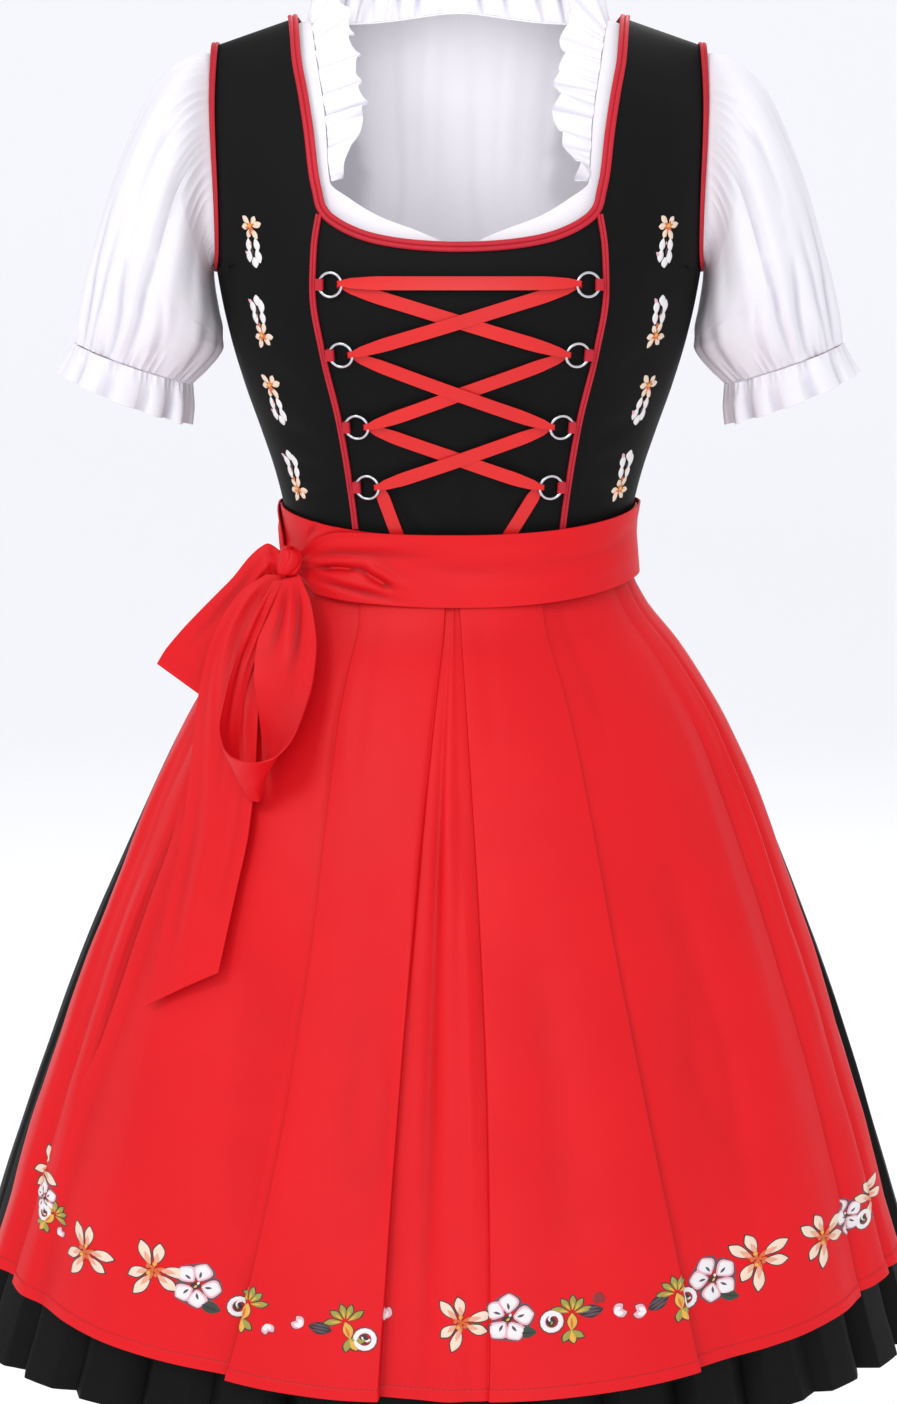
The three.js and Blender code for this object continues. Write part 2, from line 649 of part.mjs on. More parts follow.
function skirtHalf(name, from, to) {
  const first = Math.round(from * PLEATS);
  const count = Math.round((to - from) * PLEATS);
  const across = [];
  for (let k = 0; k < count; k += 1) {
    PLEAT_SHAPE.forEach(({ place }) => across.push((k + place) / count));
  }
  across.push(1);
  const gap = SEAM_GAP / 2 / 2000;
  const surface = (u, v) => {
    const share = clamp((first + u * count) / PLEATS, from + gap, to - gap);
    const wrapped = share > 1 ? share - 1 : share;
    const angle = hemAngles(wrapped);
    const z = mix(SKIRT_HEM_Z, WAIST_SEAM_Z - SEAM_GAP - 0.5 + dip(angle), v);
    return flare(angle, z, pleatDepth(wrapped, z));
  };
  wall(name, "black", surface, { across, up: SKIRT_ROWS, thick: SKIRT_THICK });
}

// ---- Apron ----
// Creases from the wearer's right to left: where each meets the waistband and the hem, in degrees round
// the skirt, how far it stands out at the hem, and how many degrees it sways on the way down. Two close
// rows with different heights are a pressed edge.
const CREASES = [
  { waist: -86, hem: -70, out: 4 },
  { waist: -82, hem: -67.5, out: 9 },
  { waist: -77, hem: -64.5, out: 13 },
  { waist: -72, hem: -61.5, out: 6 },
  { waist: -69.5, hem: -59.6, out: 3 },
  { waist: -68.5, hem: -58.6, out: 12 },
  { waist: -65, hem: -56, out: 14 },
  { waist: -60, hem: -52, out: 9 },
  { waist: -54, hem: -47, out: 12 },
  { waist: -48, hem: -41, out: 13 },
  { waist: -42, hem: -32, out: 9, sway: 3 },
  { waist: -38, hem: -25.8, out: 4, sway: 6 },
  { waist: -36.6, hem: -24.2, out: 3, sway: 6.5 },
  { waist: -35.6, hem: -23.2, out: 13, sway: 6.5 },
  { waist: -26, hem: -18.5, out: 15, sway: 4 },
  { waist: -14, hem: -13, out: 15, sway: 1 },
  { waist: -5, hem: -8, out: 13 },
  { waist: -4, hem: -6.8, out: 2 },
  { waist: -2.9, hem: -3.2, out: 4 },
  { waist: -2.2, hem: 0, out: 7 },
  { waist: -1.5, hem: 2.8, out: 3 },
  { waist: -0.8, hem: 4.5, out: 2, sway: 1 },
  { waist: 0.2, hem: 5.7, out: 13, sway: 1 },
  { waist: 9, hem: 11.5, out: 15 },
  { waist: 19, hem: 19.5, out: 15, sway: -3 },
  { waist: 28.2, hem: 27.6, out: 13, sway: -4.5 },
  { waist: 29.6, hem: 28.8, out: 5, sway: -4.5 },
  { waist: 33, hem: 32.5, out: 3, sway: -3 },
  { waist: 40, hem: 38, out: 8, sway: -1 },
  { waist: 47, hem: 44, out: 13 },
  { waist: 54, hem: 50, out: 14 },
  { waist: 59, hem: 54, out: 11 },
  { waist: 60.5, hem: 55.4, out: 5 },
  { waist: 65, hem: 58, out: 11 },
  { waist: 69, hem: 61, out: 13 },
  { waist: 70.5, hem: 62.4, out: 5 },
  { waist: 75, hem: 65, out: 11 },
  { waist: 80, hem: 67.5, out: 10 },
  { waist: 86, hem: 70, out: 4 },
];
const APRON_TOP_Z = BAND_TOP_Z - 35;
const BAND_FOOT_Z = BAND_TOP_Z - BAND_HEIGHT;

const apronHemZ = (angle) => APRON_HEM_Z + APRON_CORNER_RISE * (Math.abs(angle) / 70) ** 1.8;

// The apron at a share of the way across and a share of the way down from the band, from the creases
// round it.
function apronPlace(u, fall) {
  const at = clamp(u, 0, 1) * (CREASES.length - 1);
  const i = Math.min(CREASES.length - 2, Math.floor(at));
  const t = at - i;
  const [a, b] = [CREASES[i], CREASES[i + 1]];
  const spread = 1 - (1 - fall) ** 2.2; // the apron's edges leave the side seams just below the band
  const sway = mix(a.sway ?? 0, b.sway ?? 0, t) * Math.sin(Math.PI * fall ** 0.55);
  return {
    angle: mix(mix(a.waist, b.waist, t), mix(a.hem, b.hem, t), spread) + sway,
    out: mix(a.out, b.out, t) * mix(0.1, 1, fall ** 0.7),
  };
}

function apron() {
  const surface = (u, v) => {
    const hemZ = apronHemZ(apronPlace(u, 1).angle);
    const top = APRON_TOP_Z + dip(apronPlace(u, 0).angle);
    const z = mix(hemZ, top, v);
    const fall = clamp((BAND_FOOT_Z - z) / (BAND_FOOT_Z - hemZ), 0, 1);
    const { angle, out } = apronPlace(u, fall);
    const clear = mix(APRON_LIFT.waist, APRON_LIFT.hem, Math.min(1, fall * 3));
    return flare(angle, z, clear + APRON_THICK + out);
  };
  const across = CREASES.map((_, i) => i / (CREASES.length - 1));
  const rows = [0, 0.14, 0.28, 0.424, 0.586, 0.72, 0.8, 0.87, 0.93, 0.97, 1];
  wall("apron", "red", surface, { across, up: rows, thick: APRON_THICK });
}

// ---- Waistband and tie ----
// A point round the waist, where z is the height at the side seams.
function waist(angle, z, out) {
  const s = power(Math.sin(degrees(angle)), 2 / TORSO_SQUARE);
  const c = power(Math.cos(degrees(angle)), 2 / TORSO_SQUARE);
  const level = Math.max(z, WAIST_SEAM_Z);
  const [half, deep] = [torsoHalf(level), c > 0 ? torsoFront(level) : torsoBack(level)];
  const at = vec(half * s, -deep * c, z + dip(angle));
  return at.add(vec(at.x / half ** 2, at.y / deep ** 2, 0).normalize().multiplyScalar(out));
}

const WAISTBAND = { reach: 88, top: BAND_TOP_Z - 1.5, foot: BAND_TOP_Z - 42, lift: { top: 2.6, foot: 5.8 } };

function waistband() {
  const { reach, top, foot, lift } = WAISTBAND;
  const surface = (u, v) =>
    waist(mix(-reach, reach, u), mix(foot, top, v), mix(lift.foot, lift.top, v));
  wall("apron_waistband", "red", surface, { across: 20, up: 2, thick: TIE_THICK });
}

// The tie starts at the knot and goes round the front, the far side and the back to the knot again. It is
// full height most of the way, and drawn together into folds where it goes into the knot.
const TIE = [
  { angle: -60, top: -403, foot: -418, fold: 3.2 },
  { angle: -55, top: -394, foot: -422, fold: 2.8 },
  { angle: -47, top: -383, foot: -427, fold: 1.8 },
  { angle: -36, top: -375, foot: -427, fold: 0.8 },
  { angle: -20, top: -372, foot: -426, fold: 0 },
  { angle: 0, top: -371, foot: -426, fold: 0 },
  { angle: 60, top: -371, foot: -425, fold: 0 },
  { angle: 180, top: -371, foot: -425, fold: 0 },
  { angle: 262, top: -372, foot: -426, fold: 0 },
  { angle: 276, top: -379, foot: -426, fold: 1.5 },
  { angle: 285, top: -397, foot: -424, fold: 2.8 },
];
const TIE_LIFT = { top: 5.1, foot: 9.4 };

function tie() {
  const [top, foot, fold] = ["top", "foot", "fold"].map((name) => column(TIE, "angle", name));
  const [start, end] = [TIE[0].angle, TIE[TIE.length - 1].angle];
  const surface = (u, v) => {
    const angle = mix(start, end, u);
    const z = mix(foot(angle), top(angle), v);
    const low = clamp((BAND_TOP_Z - z) / BAND_HEIGHT, 0, 1);
    const crest = Math.sin(v * Math.PI * 2.5) ** 2 * fold(angle);
    return waist(angle, z, mix(TIE_LIFT.top, TIE_LIFT.foot, low) + crest);
  };
  const across = [0, 0.012, 0.025, 0.04, 0.06, 0.08, 0.105];
  for (let i = 1; i <= 21; i += 1) across.push(mix(0.105, 0.94, i / 21));
  across.push(0.955, 0.97, 0.985, 1);
  wall("apron_tie", "red", surface, { across, up: [0, 0.2, 0.4, 0.6, 0.8, 1], thick: TIE_THICK });
}

// ---- Bow ----
// Each ribbon is a table of its two edges, a and b, row by row along it, and how much it bellies out
// between.
const FRONT_LOOP = [
  { ax: -121, ay: -85, az: -420, bx: -134, by: -82, bz: -423.4, belly: 1 },
  { ax: -111, ay: -104, az: -443, bx: -143, by: -96, bz: -446, belly: 2 },
  { ax: -107, ay: -124, az: -469, bx: -153, by: -104, bz: -470, belly: 3 },
  { ax: -109, ay: -140, az: -491, bx: -155, by: -114, bz: -491, belly: 3 },
  { ax: -115, ay: -157, az: -511, bx: -152, by: -122, bz: -512, belly: 3 },
  { ax: -125, ay: -177, az: -532, bx: -148, by: -134, bz: -540, belly: 2 },
  { ax: -139, ay: -187, az: -543, bx: -146, by: -150, bz: -566, belly: 1 },
  { ax: -153, ay: -185, az: -546, bx: -150, by: -160, bz: -580, belly: 0 },
  { ax: -166, ay: -174, az: -545, bx: -158, by: -156, bz: -578, belly: 1 },
  { ax: -176, ay: -158, az: -539, bx: -164, by: -143, bz: -562, belly: 1 },
  { ax: -180, ay: -140, az: -526, bx: -166, by: -129, bz: -541, belly: 1 },
  { ax: -177, ay: -120, az: -507, bx: -164, by: -112, bz: -516, belly: 1 },
  { ax: -171, ay: -100, az: -484, bx: -157, by: -96, bz: -488, belly: 1 },
  { ax: -161, ay: -86, az: -459, bx: -146, by: -87, bz: -460, belly: 0 },
  { ax: -150, ay: -80, az: -439, bx: -139, by: -80, bz: -440, belly: 0 },
  { ax: -142, ay: -77, az: -425, bx: -132, by: -77, bz: -424.5, belly: 0 },
];
const SIDE_LOOP = [
  { ax: -137.4, ay: -67.8, az: -403, bx: -136.6, by: -68.6, bz: -415, belly: 1 },
  { ax: -147, ay: -56, az: -399, bx: -145, by: -57, bz: -416, belly: 2 },
  { ax: -153, ay: -56, az: -402, bx: -146, by: -58, bz: -427, belly: 4 },
  { ax: -161, ay: -56, az: -409, bx: -147, by: -58, bz: -438, belly: 4 },
  { ax: -175, ay: -56, az: -426, bx: -156, by: -58, bz: -453, belly: 4 },
  { ax: -188, ay: -56, az: -439, bx: -167, by: -60, bz: -471, belly: 3 },
  { ax: -215, ay: -53, az: -467, bx: -182, by: -64, bz: -494, belly: 2 },
  { ax: -229, ay: -50, az: -484, bx: -194, by: -66, bz: -512, belly: 1 },
  { ax: -235, ay: -47, az: -494, bx: -198, by: -66, bz: -517, belly: 0 },
  { ax: -233, ay: -43, az: -493, bx: -197, by: -62, bz: -516, belly: 0 },
  { ax: -212, ay: -45, az: -466, bx: -181, by: -58, bz: -492, belly: 0 },
  { ax: -186, ay: -49, az: -439, bx: -166, by: -54, bz: -469, belly: 0 },
  { ax: -173, ay: -50, az: -426, bx: -156, by: -53, bz: -451, belly: 0 },
  { ax: -159, ay: -51, az: -410, bx: -147, by: -53, bz: -436, belly: 0 },
  { ax: -148, ay: -51, az: -401, bx: -145, by: -52, bz: -418, belly: 0 },
];
const LONG_TAIL = [
  { ax: -148, ay: -69, az: -421.5, bx: -131.5, by: -70, bz: -422.6, belly: 1 },
  { ax: -166, ay: -72, az: -433, bx: -140, by: -70, bz: -441, belly: 1.5 },
  { ax: -190, ay: -76, az: -471, bx: -149, by: -86, bz: -477, belly: 2.5 },
  { ax: -200, ay: -80, az: -513, bx: -152, by: -116, bz: -519, belly: 3 },
  { ax: -205, ay: -98, az: -561, bx: -153, by: -140, bz: -560, belly: 3 },
  { ax: -210, ay: -124, az: -610, bx: -157, by: -159, bz: -602, belly: 3 },
  { ax: -220, ay: -143, az: -660, bx: -166, by: -172, bz: -645, belly: 2.5 },
  { ax: -228, ay: -157, az: -703, bx: -174, by: -183, bz: -681, belly: 2.5 },
  { ax: -235, ay: -166, az: -736, bx: -179, by: -189, bz: -704, belly: 2.5 },
];
const UNDER_TAIL_ROWS = 6; // the shorter tail lies behind this many rows of the long one
const UNDER_TAIL_SET = { in: 4.2, back: 2 };

function ribbon(name, rows, steps) {
  const table = rows.map((row, i) => ({ ...row, i }));
  const [ax, ay, az, bx, by, bz, belly] = ["ax", "ay", "az", "bx", "by", "bz", "belly"].map((c) =>
    column(table, "i", c),
  );
  const last = rows.length - 1;
  const edges = (t) => [vec(ax(t), ay(t), az(t)), vec(bx(t), by(t), bz(t))];
  const surface = (u, v) => {
    const t = v * last;
    const [a, b] = edges(t);
    const ahead = edges(Math.min(last, t + 0.1)).map((p, i) => p.sub(edges(Math.max(0, t - 0.1))[i]));
    const along = ahead[0].add(ahead[1]);
    const out = b.clone().sub(a).cross(along).normalize();
    return a.clone().lerp(b, u).addScaledVector(out, -belly(t) * 4 * u * (1 - u));
  };
  wall(name, "red", surface, { across: 4, up: steps, lift: TIE_THICK / 2, thick: TIE_THICK });
}

// The shorter tail: the long tail's rows, narrower and nearer the skirt.
function underTail() {
  const rows = LONG_TAIL.slice(0, UNDER_TAIL_ROWS).map((row) => {
    const [a, b] = [vec(row.ax, row.ay, row.az), vec(row.bx, row.by, row.bz)];
    const across = b.clone().sub(a).normalize();
    const back = vec(-across.y, across.x, 0).normalize().multiplyScalar(UNDER_TAIL_SET.back);
    a.addScaledVector(across, UNDER_TAIL_SET.in).add(back);
    b.addScaledVector(across, -UNDER_TAIL_SET.in).add(back);
    return { ax: a.x, ay: a.y, az: a.z, bx: b.x, by: b.y, bz: b.z, belly: row.belly * 0.8 };
  });
  ribbon("bow_tail_under", rows, 9);
}

// The knot: a short band pulled round the ties, plump in the middle and creased down its length.
const KNOT = { x: -129.4, y: -76.5, z: -411, wide: 11, deep: 14, tall: 12.5, turn: -58, lean: -12 };

function knot() {
  const around = 14;
  const levels = 7;
  const lean = new THREE.Matrix4().makeRotationX(degrees(KNOT.lean));
  const turn = new THREE.Matrix4().makeRotationZ(degrees(KNOT.turn));
  const stations = evenly(levels).map((t) => {
    const latitude = degrees(mix(-80, 80, t));
    const level = Math.cos(latitude) ** 0.7;
    return evenly(around)
      .slice(0, -1)
      .map((share) => {
        const crease = 1 + 0.07 * Math.cos(share * Math.PI * 2 * 5);
        const x = Math.cos(share * Math.PI * 2) * KNOT.wide * level * crease;
        const y = Math.sin(share * Math.PI * 2) * KNOT.deep * level * crease;
        const at = vec(x, y, Math.sin(latitude) * KNOT.tall);
        return at.applyMatrix4(lean).applyMatrix4(turn).add(vec(KNOT.x, KNOT.y, KNOT.z));
      });
  });
  const triangles = [];
  for (let j = 0; j < levels; j += 1) {
    for (let k = 0; k < around; k += 1) {
      const [a, b] = [j * around + k, j * around + ((k + 1) % around)];
      triangles.push([a, b, b + around], [a, b + around, a + around]);
    }
  }
  for (let k = 1; k < around - 1; k += 1) {
    const end = levels * around;
    triangles.push([0, k + 1, k], [end, end + k, end + k + 1]);
  }
  meshOf("bow_knot", "red", stations.flat(), triangles);
}

// ---- Blouse ----
const BLOUSE_FOOT_Z = -300;
const BLOUSE_EDGE = [
  // the front edge: down the middle to the V, out along it, and up beside the neck
  { z: -300, x: 0 },
  { z: -176, x: 0 },
  { z: -168, x: 12 },
  { z: -160, x: 30 },
  { z: -149, x: 60 },
  { z: -136, x: 82 },
  { z: -124, x: 97 },
  { z: -80, x: 101 },
  { z: -35, x: 109 },
  { z: 0, x: 115 },
];
const BLOUSE_BACK_NECK_Z = -25;
const BLOUSE_NECK_X = 115;
const BLOUSE_SHOULDER = 0.05; // like SHOULDER_ROOT, for the blouse
const blouseX = column(BLOUSE_EDGE, "z", "x");
// The blouse's armhole is a little smaller than the bodice's, so that its sleeve comes out inside the
// binding.
const blouseReach = (root) => {
  const hole = armholeAngle(rootDepth(-root * root - 3)) - 2.6;
  return Math.min(90, hole) - arcDegrees(PANEL_GAP / 2, root);
};

function blouse() {
  for (const { name, hand } of SIDES) {
    quarter(`blouse_front_${name}`, "white", hand, {
      innerX: blouseX,
      foot: () => BLOUSE_FOOT_Z,
      reach: blouseReach,
      across: [0, 0.24, 0.48, 0.68, 0.86, 1],
      top: BLOUSE_SHOULDER,
      rows: [-230, -187, -176, -168, -160, -149, -136, -124, -90, -55, -25, -6],
      lift: -BLOUSE_INSET,
      thick: BLOUSE_THICK,
    });
  }
  const tall = rootDepth(BLOUSE_FOOT_Z);
  const rowAt = (z) => Math.min(1, (tall - rootDepth(z)) / (tall - BLOUSE_SHOULDER));
  // The back is one piece, so its columns are those of one half and their mirror image.
  const halfColumns = [0, 0.28, 0.5, 0.6144, 0.68, 0.8, 0.9, 1];
  const left = halfColumns.slice(1).map((reach) => (1 + reach) / 2);
  const surface = (u, v) => {
    const reach = 1 - u * 2;
    const x = Math.abs(reach) * 188;
    const neck = x < BLOUSE_NECK_X ? BLOUSE_BACK_NECK_Z * (1 - (x / BLOUSE_NECK_X) ** 2.4) : 0;
    const root = mix(tall, Math.max(BLOUSE_SHOULDER, rootDepth(neck)), v);
    const outer = blouseReach(root);
    const widest = torsoHalf(-root * root) * Math.sin(degrees(outer)) ** (2 / TORSO_SQUARE);
    const low = Math.abs(reach) * outer;
    const high = torsoAngle(Math.abs(reach) * widest, root);
    const angle = mix(low, high, ease(-230, -120, -root * root));
    return torso(180 - Math.sign(reach) * angle, root);
  };
  wall("blouse_back", "white", surface, {
    across: [...halfColumns.slice(1).map((reach) => (1 - reach) / 2).reverse(), 0.5, ...left],
    up: [-300, -230, -186, -172, -110, -60, -22, -5, 0].map(rowAt),
    lift: -BLOUSE_INSET,
    thick: BLOUSE_THICK,
  });
}

// ---- Sleeves ----
// Sections from the armhole to the cuff: the outer and the inner end of each, seen from the front, half
// its depth from front to back, and how deep its gathers are.
const SLEEVE = [
  { t: 0.2, outX: 205, outZ: -24, inX: 192.6, inZ: -189, deep: 56, gather: 1.2 },
  { t: 0.34, outX: 233, outZ: -51, inX: 190, inZ: -212, deep: 64, gather: 1 },
  { t: 0.48, outX: 254, outZ: -91, inX: 187, inZ: -226, deep: 69, gather: 0.8 },
  { t: 0.64, outX: 275, outZ: -147, inX: 184.5, inZ: -238, deep: 71, gather: 0.8 },
  { t: 0.8, outX: 291, outZ: -200, inX: 184.5, inZ: -250, deep: 67, gather: 1.8 },
  { t: 0.92, outX: 298, outZ: -234, inX: 197, inZ: -268, deep: 57, gather: 3 },
  { t: 1, outX: 299.5, outZ: -247, inX: 208, inZ: -279, deep: 47, gather: 2 },
];
const SLEEVE_GATHERS = 14;
const SLEEVE_HEAD = { scale: 0.945, x: 183, y: 3, z: -100, step: 6.5, at: 0.08 };
const CUFF = [
  { t: 0, outX: 299.8, outZ: -248, inX: 208, inZ: -280, deep: 47, wave: 1.4 },
  { t: 0.5, outX: 304, outZ: -260, inX: 208, inZ: -295, deep: 50, wave: 2.6 },
  { t: 1, outX: 310, outZ: -272, inX: 210, inZ: -311, deep: 54, wave: 4 },
];
const CUFF_WAVES = 12;

const readers = (table, names) => names.map((name) => column(table, "t", name));
const sleeveReaders = readers(SLEEVE, ["outX", "outZ", "inX", "inZ", "deep", "gather"]);
const cuffReaders = readers(CUFF, ["outX", "outZ", "inX", "inZ", "deep", "wave"]);

// A section's point and the direction outward from its middle; a turn starts at the outer end.
function section(reading, t, turn) {
  const [outX, outZ, inX, inZ, deep] = reading.map((read) => read(t));
  const [c, s] = [Math.cos(turn * Math.PI * 2), Math.sin(turn * Math.PI * 2)];
  const at = vec(mix(inX, outX, (c + 1) / 2), 3 + deep * s, mix(inZ, outZ, (c + 1) / 2));
  const middle = vec((inX + outX) / 2, 3, (inZ + outZ) / 2);
  return { at, outward: at.clone().sub(middle).normalize() };
}

// The armhole as a loop: a turn starts at the shoulder and goes down the back.
function armholeLoop(turn) {
  const share = ((turn % 1) + 1) % 1;
  const down = share < 0.5 ? share * 2 : 2 - share * 2;
  const root = rootDepth(UNDERARM_Z * 0.5 * (1 - Math.cos(down * Math.PI)));
  const angle = share < 0.5 ? 180 - armholeAngle(root) : armholeAngle(root);
  const { scale, x, y, z } = SLEEVE_HEAD;
  const centre = vec(x, y, z);
  return {
    at: torso(angle, root).sub(centre).multiplyScalar(scale).add(centre),
    normal: torsoNormal(angle, root),
  };
}

function sleeveSurface(turn, t) {
  const first = SLEEVE[0].t;
  const { at, outward } = section(sleeveReaders, Math.max(first, t), turn);
  const gather = Math.cos(turn * Math.PI * 2 * SLEEVE_GATHERS) * sleeveReaders[5](Math.max(first, t));
  at.addScaledVector(outward, gather * (outward.x > 0 || t > 0.7 ? 1 : 0.3));
  if (t >= first) return at;
  const { at: loop, normal } = armholeLoop(turn);
  const neck = loop.clone().addScaledVector(normal, -1.5).add(vec(SLEEVE_HEAD.step, 0, 0));
  const start = loop.addScaledVector(normal, -BLOUSE_INSET);
  if (t < SLEEVE_HEAD.at) return start.lerp(neck, t / SLEEVE_HEAD.at);
  return neck.lerp(at, (t - SLEEVE_HEAD.at) / (first - SLEEVE_HEAD.at));
}

function cuffSurface(turn, t) {
  const { at, outward } = section(cuffReaders, t, turn);
  const wave = Math.cos(turn * Math.PI * 2 * CUFF_WAVES) + 0.3 * Math.cos(turn * Math.PI * 10 + 1);
  return at.addScaledVector(outward, wave * cuffReaders[5](t));
}

function sleeves() {
  for (const { name, hand } of SIDES) {
    const made = (surface) => (u, v) => {
      const p = surface(u, 1 - v);
      return vec(hand * p.x, p.y, p.z);
    };
    wall(`sleeve_${name}`, "white", made(sleeveSurface), {
      across: SLEEVE_GATHERS * 2,
      up: [0, 0.08, 0.2, 0.38, 0.58, 0.8, 0.92, 1],
      closed: true,
      thick: BLOUSE_THICK,
      turn: hand,
    });
    wall(`cuff_${name}`, "white", made(cuffSurface), {
      across: CUFF_WAVES * 4,
      up: 2,
      closed: true,
      thick: BLOUSE_THICK,
      turn: hand,
    });
  }
}

// ---- Neck ruffle ----
const RUFFLE = { waves: 32, height: 29, wave: 3.4, shoulder: 0.46, foot: 1.2 };

// The blouse's neck edge from the front on the wearer's right, round the back, to the front on the left.
// A share is 0 and 1 at the two front ends and a half at the back.
function neckEdge(share) {
  const side = share < 0.5 ? -1 : 1;
  const down = Math.abs(share - 0.5) * 2;
  let root = 0.2;
  let angle = 0;
  if (down < RUFFLE.shoulder) {
    const part = Math.sin((down / RUFFLE.shoulder) * (Math.PI / 2));
    root = Math.max(root, rootDepth(BLOUSE_BACK_NECK_Z * (1 - part ** 2.4)));
    angle = 180 - torsoAngle(BLOUSE_NECK_X * part, root);
  } else {
    root = mix(root, rootDepth(-122), ((down - RUFFLE.shoulder) / (1 - RUFFLE.shoulder)) ** 0.85);
    angle = torsoAngle(blouseX(-root * root), root);
  }
  const inset = -(BLOUSE_INSET + BLOUSE_THICK / 2);
  return torso(side * angle, root).addScaledVector(torsoNormal(side * angle, root), inset);
}

function ruffle() {
  const surface = (u, v) => {
    const down = Math.abs(u - 0.5) * 2;
    const side = u < 0.5 ? -1 : 1;
    const height = RUFFLE.height * (1 - ease(0.88, 1, down) * 0.75);
    const front = ease(0.4, 0.75, down);
    const sideways = -side * mix(0.12, 0.93, front) * ease(0, 0.3, down);
    const lean = vec(sideways, mix(0.28, -0.32, front), mix(0.94, 0.2, front)).normalize();
    const wave = Math.sin(u * Math.PI * 2 * RUFFLE.waves) * RUFFLE.wave * (0.2 + 0.8 * v);
    const ahead = neckEdge(Math.min(1, u + 0.004)).sub(neckEdge(Math.max(0, u - 0.004))).normalize();
    const across = ahead.clone().cross(lean).normalize();
    return neckEdge(u).addScaledVector(lean, RUFFLE.foot + v * height).addScaledVector(across, wave);
  };
  wall("neck_ruffle", "white", surface, { across: RUFFLE.waves * 4, up: 1, thick: BLOUSE_THICK });
}

// ---- The whole garment ----
bodice();
bindings();
ringsAndTabs();
lacing();
skirtHalf("skirt_front", 0.25, 0.75);
skirtHalf("skirt_back", 0.75, 1.25);
apron();
waistband();
tie();
knot();
ribbon("bow_loop_front", FRONT_LOOP, 24);
ribbon("bow_loop_side", SIDE_LOOP, 18);
ribbon("bow_tail_long", LONG_TAIL, 12);
underTail();
blouse();
sleeves();
ruffle();

export default object;
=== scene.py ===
"""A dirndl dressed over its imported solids: cloth, trim, embroidery and stitches, with a floor and studio lights.

The cloth pieces are grids of points on the two forms that the dress is cut for, a torso and a flared skirt.
Lengths are millimetres until a mesh is made. +Z is up, the front faces -Y, and the origin is the middle of the
shoulder line.
"""
import math

import bpy
import numpy as np
from bpy.props import FloatProperty, PointerProperty, StringProperty
from mathutils import Matrix, Vector


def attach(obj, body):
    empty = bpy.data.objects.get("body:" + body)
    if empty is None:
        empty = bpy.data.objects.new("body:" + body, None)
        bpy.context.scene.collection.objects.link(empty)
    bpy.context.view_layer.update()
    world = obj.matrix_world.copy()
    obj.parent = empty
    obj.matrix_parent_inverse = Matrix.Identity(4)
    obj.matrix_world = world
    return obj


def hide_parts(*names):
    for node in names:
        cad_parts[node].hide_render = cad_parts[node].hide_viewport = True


bl_info = {
    "name": "Dirndl",
    "version": (1, 0, 0),
    "blender": (4, 5, 0),
    "location": "3D View > Sidebar > Dirndl",
    "description": "Makes a laced dirndl with its blouse and apron over the packed solids",
    "category": "Add Mesh",
}

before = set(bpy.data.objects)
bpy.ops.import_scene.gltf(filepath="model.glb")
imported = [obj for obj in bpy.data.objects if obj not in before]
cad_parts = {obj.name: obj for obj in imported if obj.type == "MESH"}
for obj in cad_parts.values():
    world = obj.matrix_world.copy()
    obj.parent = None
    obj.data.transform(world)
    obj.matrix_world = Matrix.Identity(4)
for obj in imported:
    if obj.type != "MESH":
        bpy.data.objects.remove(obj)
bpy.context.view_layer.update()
METRES = 0.001
PANEL_GAP = 0.04  # between two panels of cloth, so that their seam closes

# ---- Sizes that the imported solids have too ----
TRIM_LIFT = 1.0
BODICE_THICK = 1.6
SKIRT_THICK = 1.2
APRON_THICK = 1.2
BLOUSE_THICK = 1.0
TIE_THICK = 1.2
BLOUSE_INSET = 4.8
APRON_LIFT = {"waist": 0.5, "hem": 2}
WAIST_SEAM_Z = -395
WAIST_DIP = 16
SKIRT_HEM_Z = -1032
APRON_HEM_Z = -996
APRON_CORNER_RISE = 46
BAND_HEIGHT = 54
BAND_TOP_Z = -371
RIBBON_THICK = 1.0
RING_RADIUS = 8.8
RING_WIRE = 1.1
SHOULDER_SLOPE = 0.34
STRAP_INNER_X = 125
STRAP_OUTER_SHARE = 0.945
UNDERARM_Z = -188
ARMHOLE_WIDEST_Z = -110
NECK_FRONT = {"z": -170, "corner_z": -142, "corner_x": 102}
BACK_NECK_Z = -72
SHOULDER_ROOT = 0.02

TORSO_SQUARE = 2.3
# Level sections of the torso: z, half its width, its depth to the front and the back, and its middle.
TORSO = [
    (-418, 131, 94, 87, 0),
    (-395, 133.6, 96.8, 88.6, 0),
    (-371, 138, 101, 91, 0),
    (-345, 144.5, 105, 94, 0),
    (-316, 154, 110, 98, 0),
    (-280, 166.5, 118, 102, 0),
    (-246, 176.5, 126, 105, 0),
    (-215, 183.5, 129, 107, 0),
    (-188, 188, 128, 109, 0),
    (-150, 193, 120, 110, 0),
    (-110, 196, 107, 109, 1),
    (-70, 198, 87, 101, 3),
    (-40, 199, 65, 86, 6),
    (-15, 199, 39, 58, 8),
    (-3, 199, 18, 27, 9),
    (0, 199, 0, 0, 9),
]
SKIRT_SWAY = -11.6
# Level sections of the flared skirt at the crests of its pleats: z, half its width, its depth to front and back.
FLARE = [
    (-396, 131, 94, 88),
    (-420, 133, 98, 92),
    (-445, 144, 106, 104),
    (-480, 173, 126, 130),
    (-531, 208, 151, 160),
    (-580, 233, 170, 180),
    (-629, 255, 187, 198),
    (-677, 276, 202, 214),
    (-740, 302, 219, 233),
    (-830, 335, 243, 258),
    (-949, 373, 272, 288),
    (-1032, 399, 290, 306),
]
# The princess seam and the strap's inner edge: z and x.
FRONT_SEAM = [(-420, 75), (-375, 79), (-305, 89), (-251, 101), (-205, 108), (-175, 107), (-142, 102)]
STRAP_INNER = [(-142, 102), (-80, 110), (-35, 119), (0, STRAP_INNER_X)]
SIDES = {"right": -1, "left": 1}


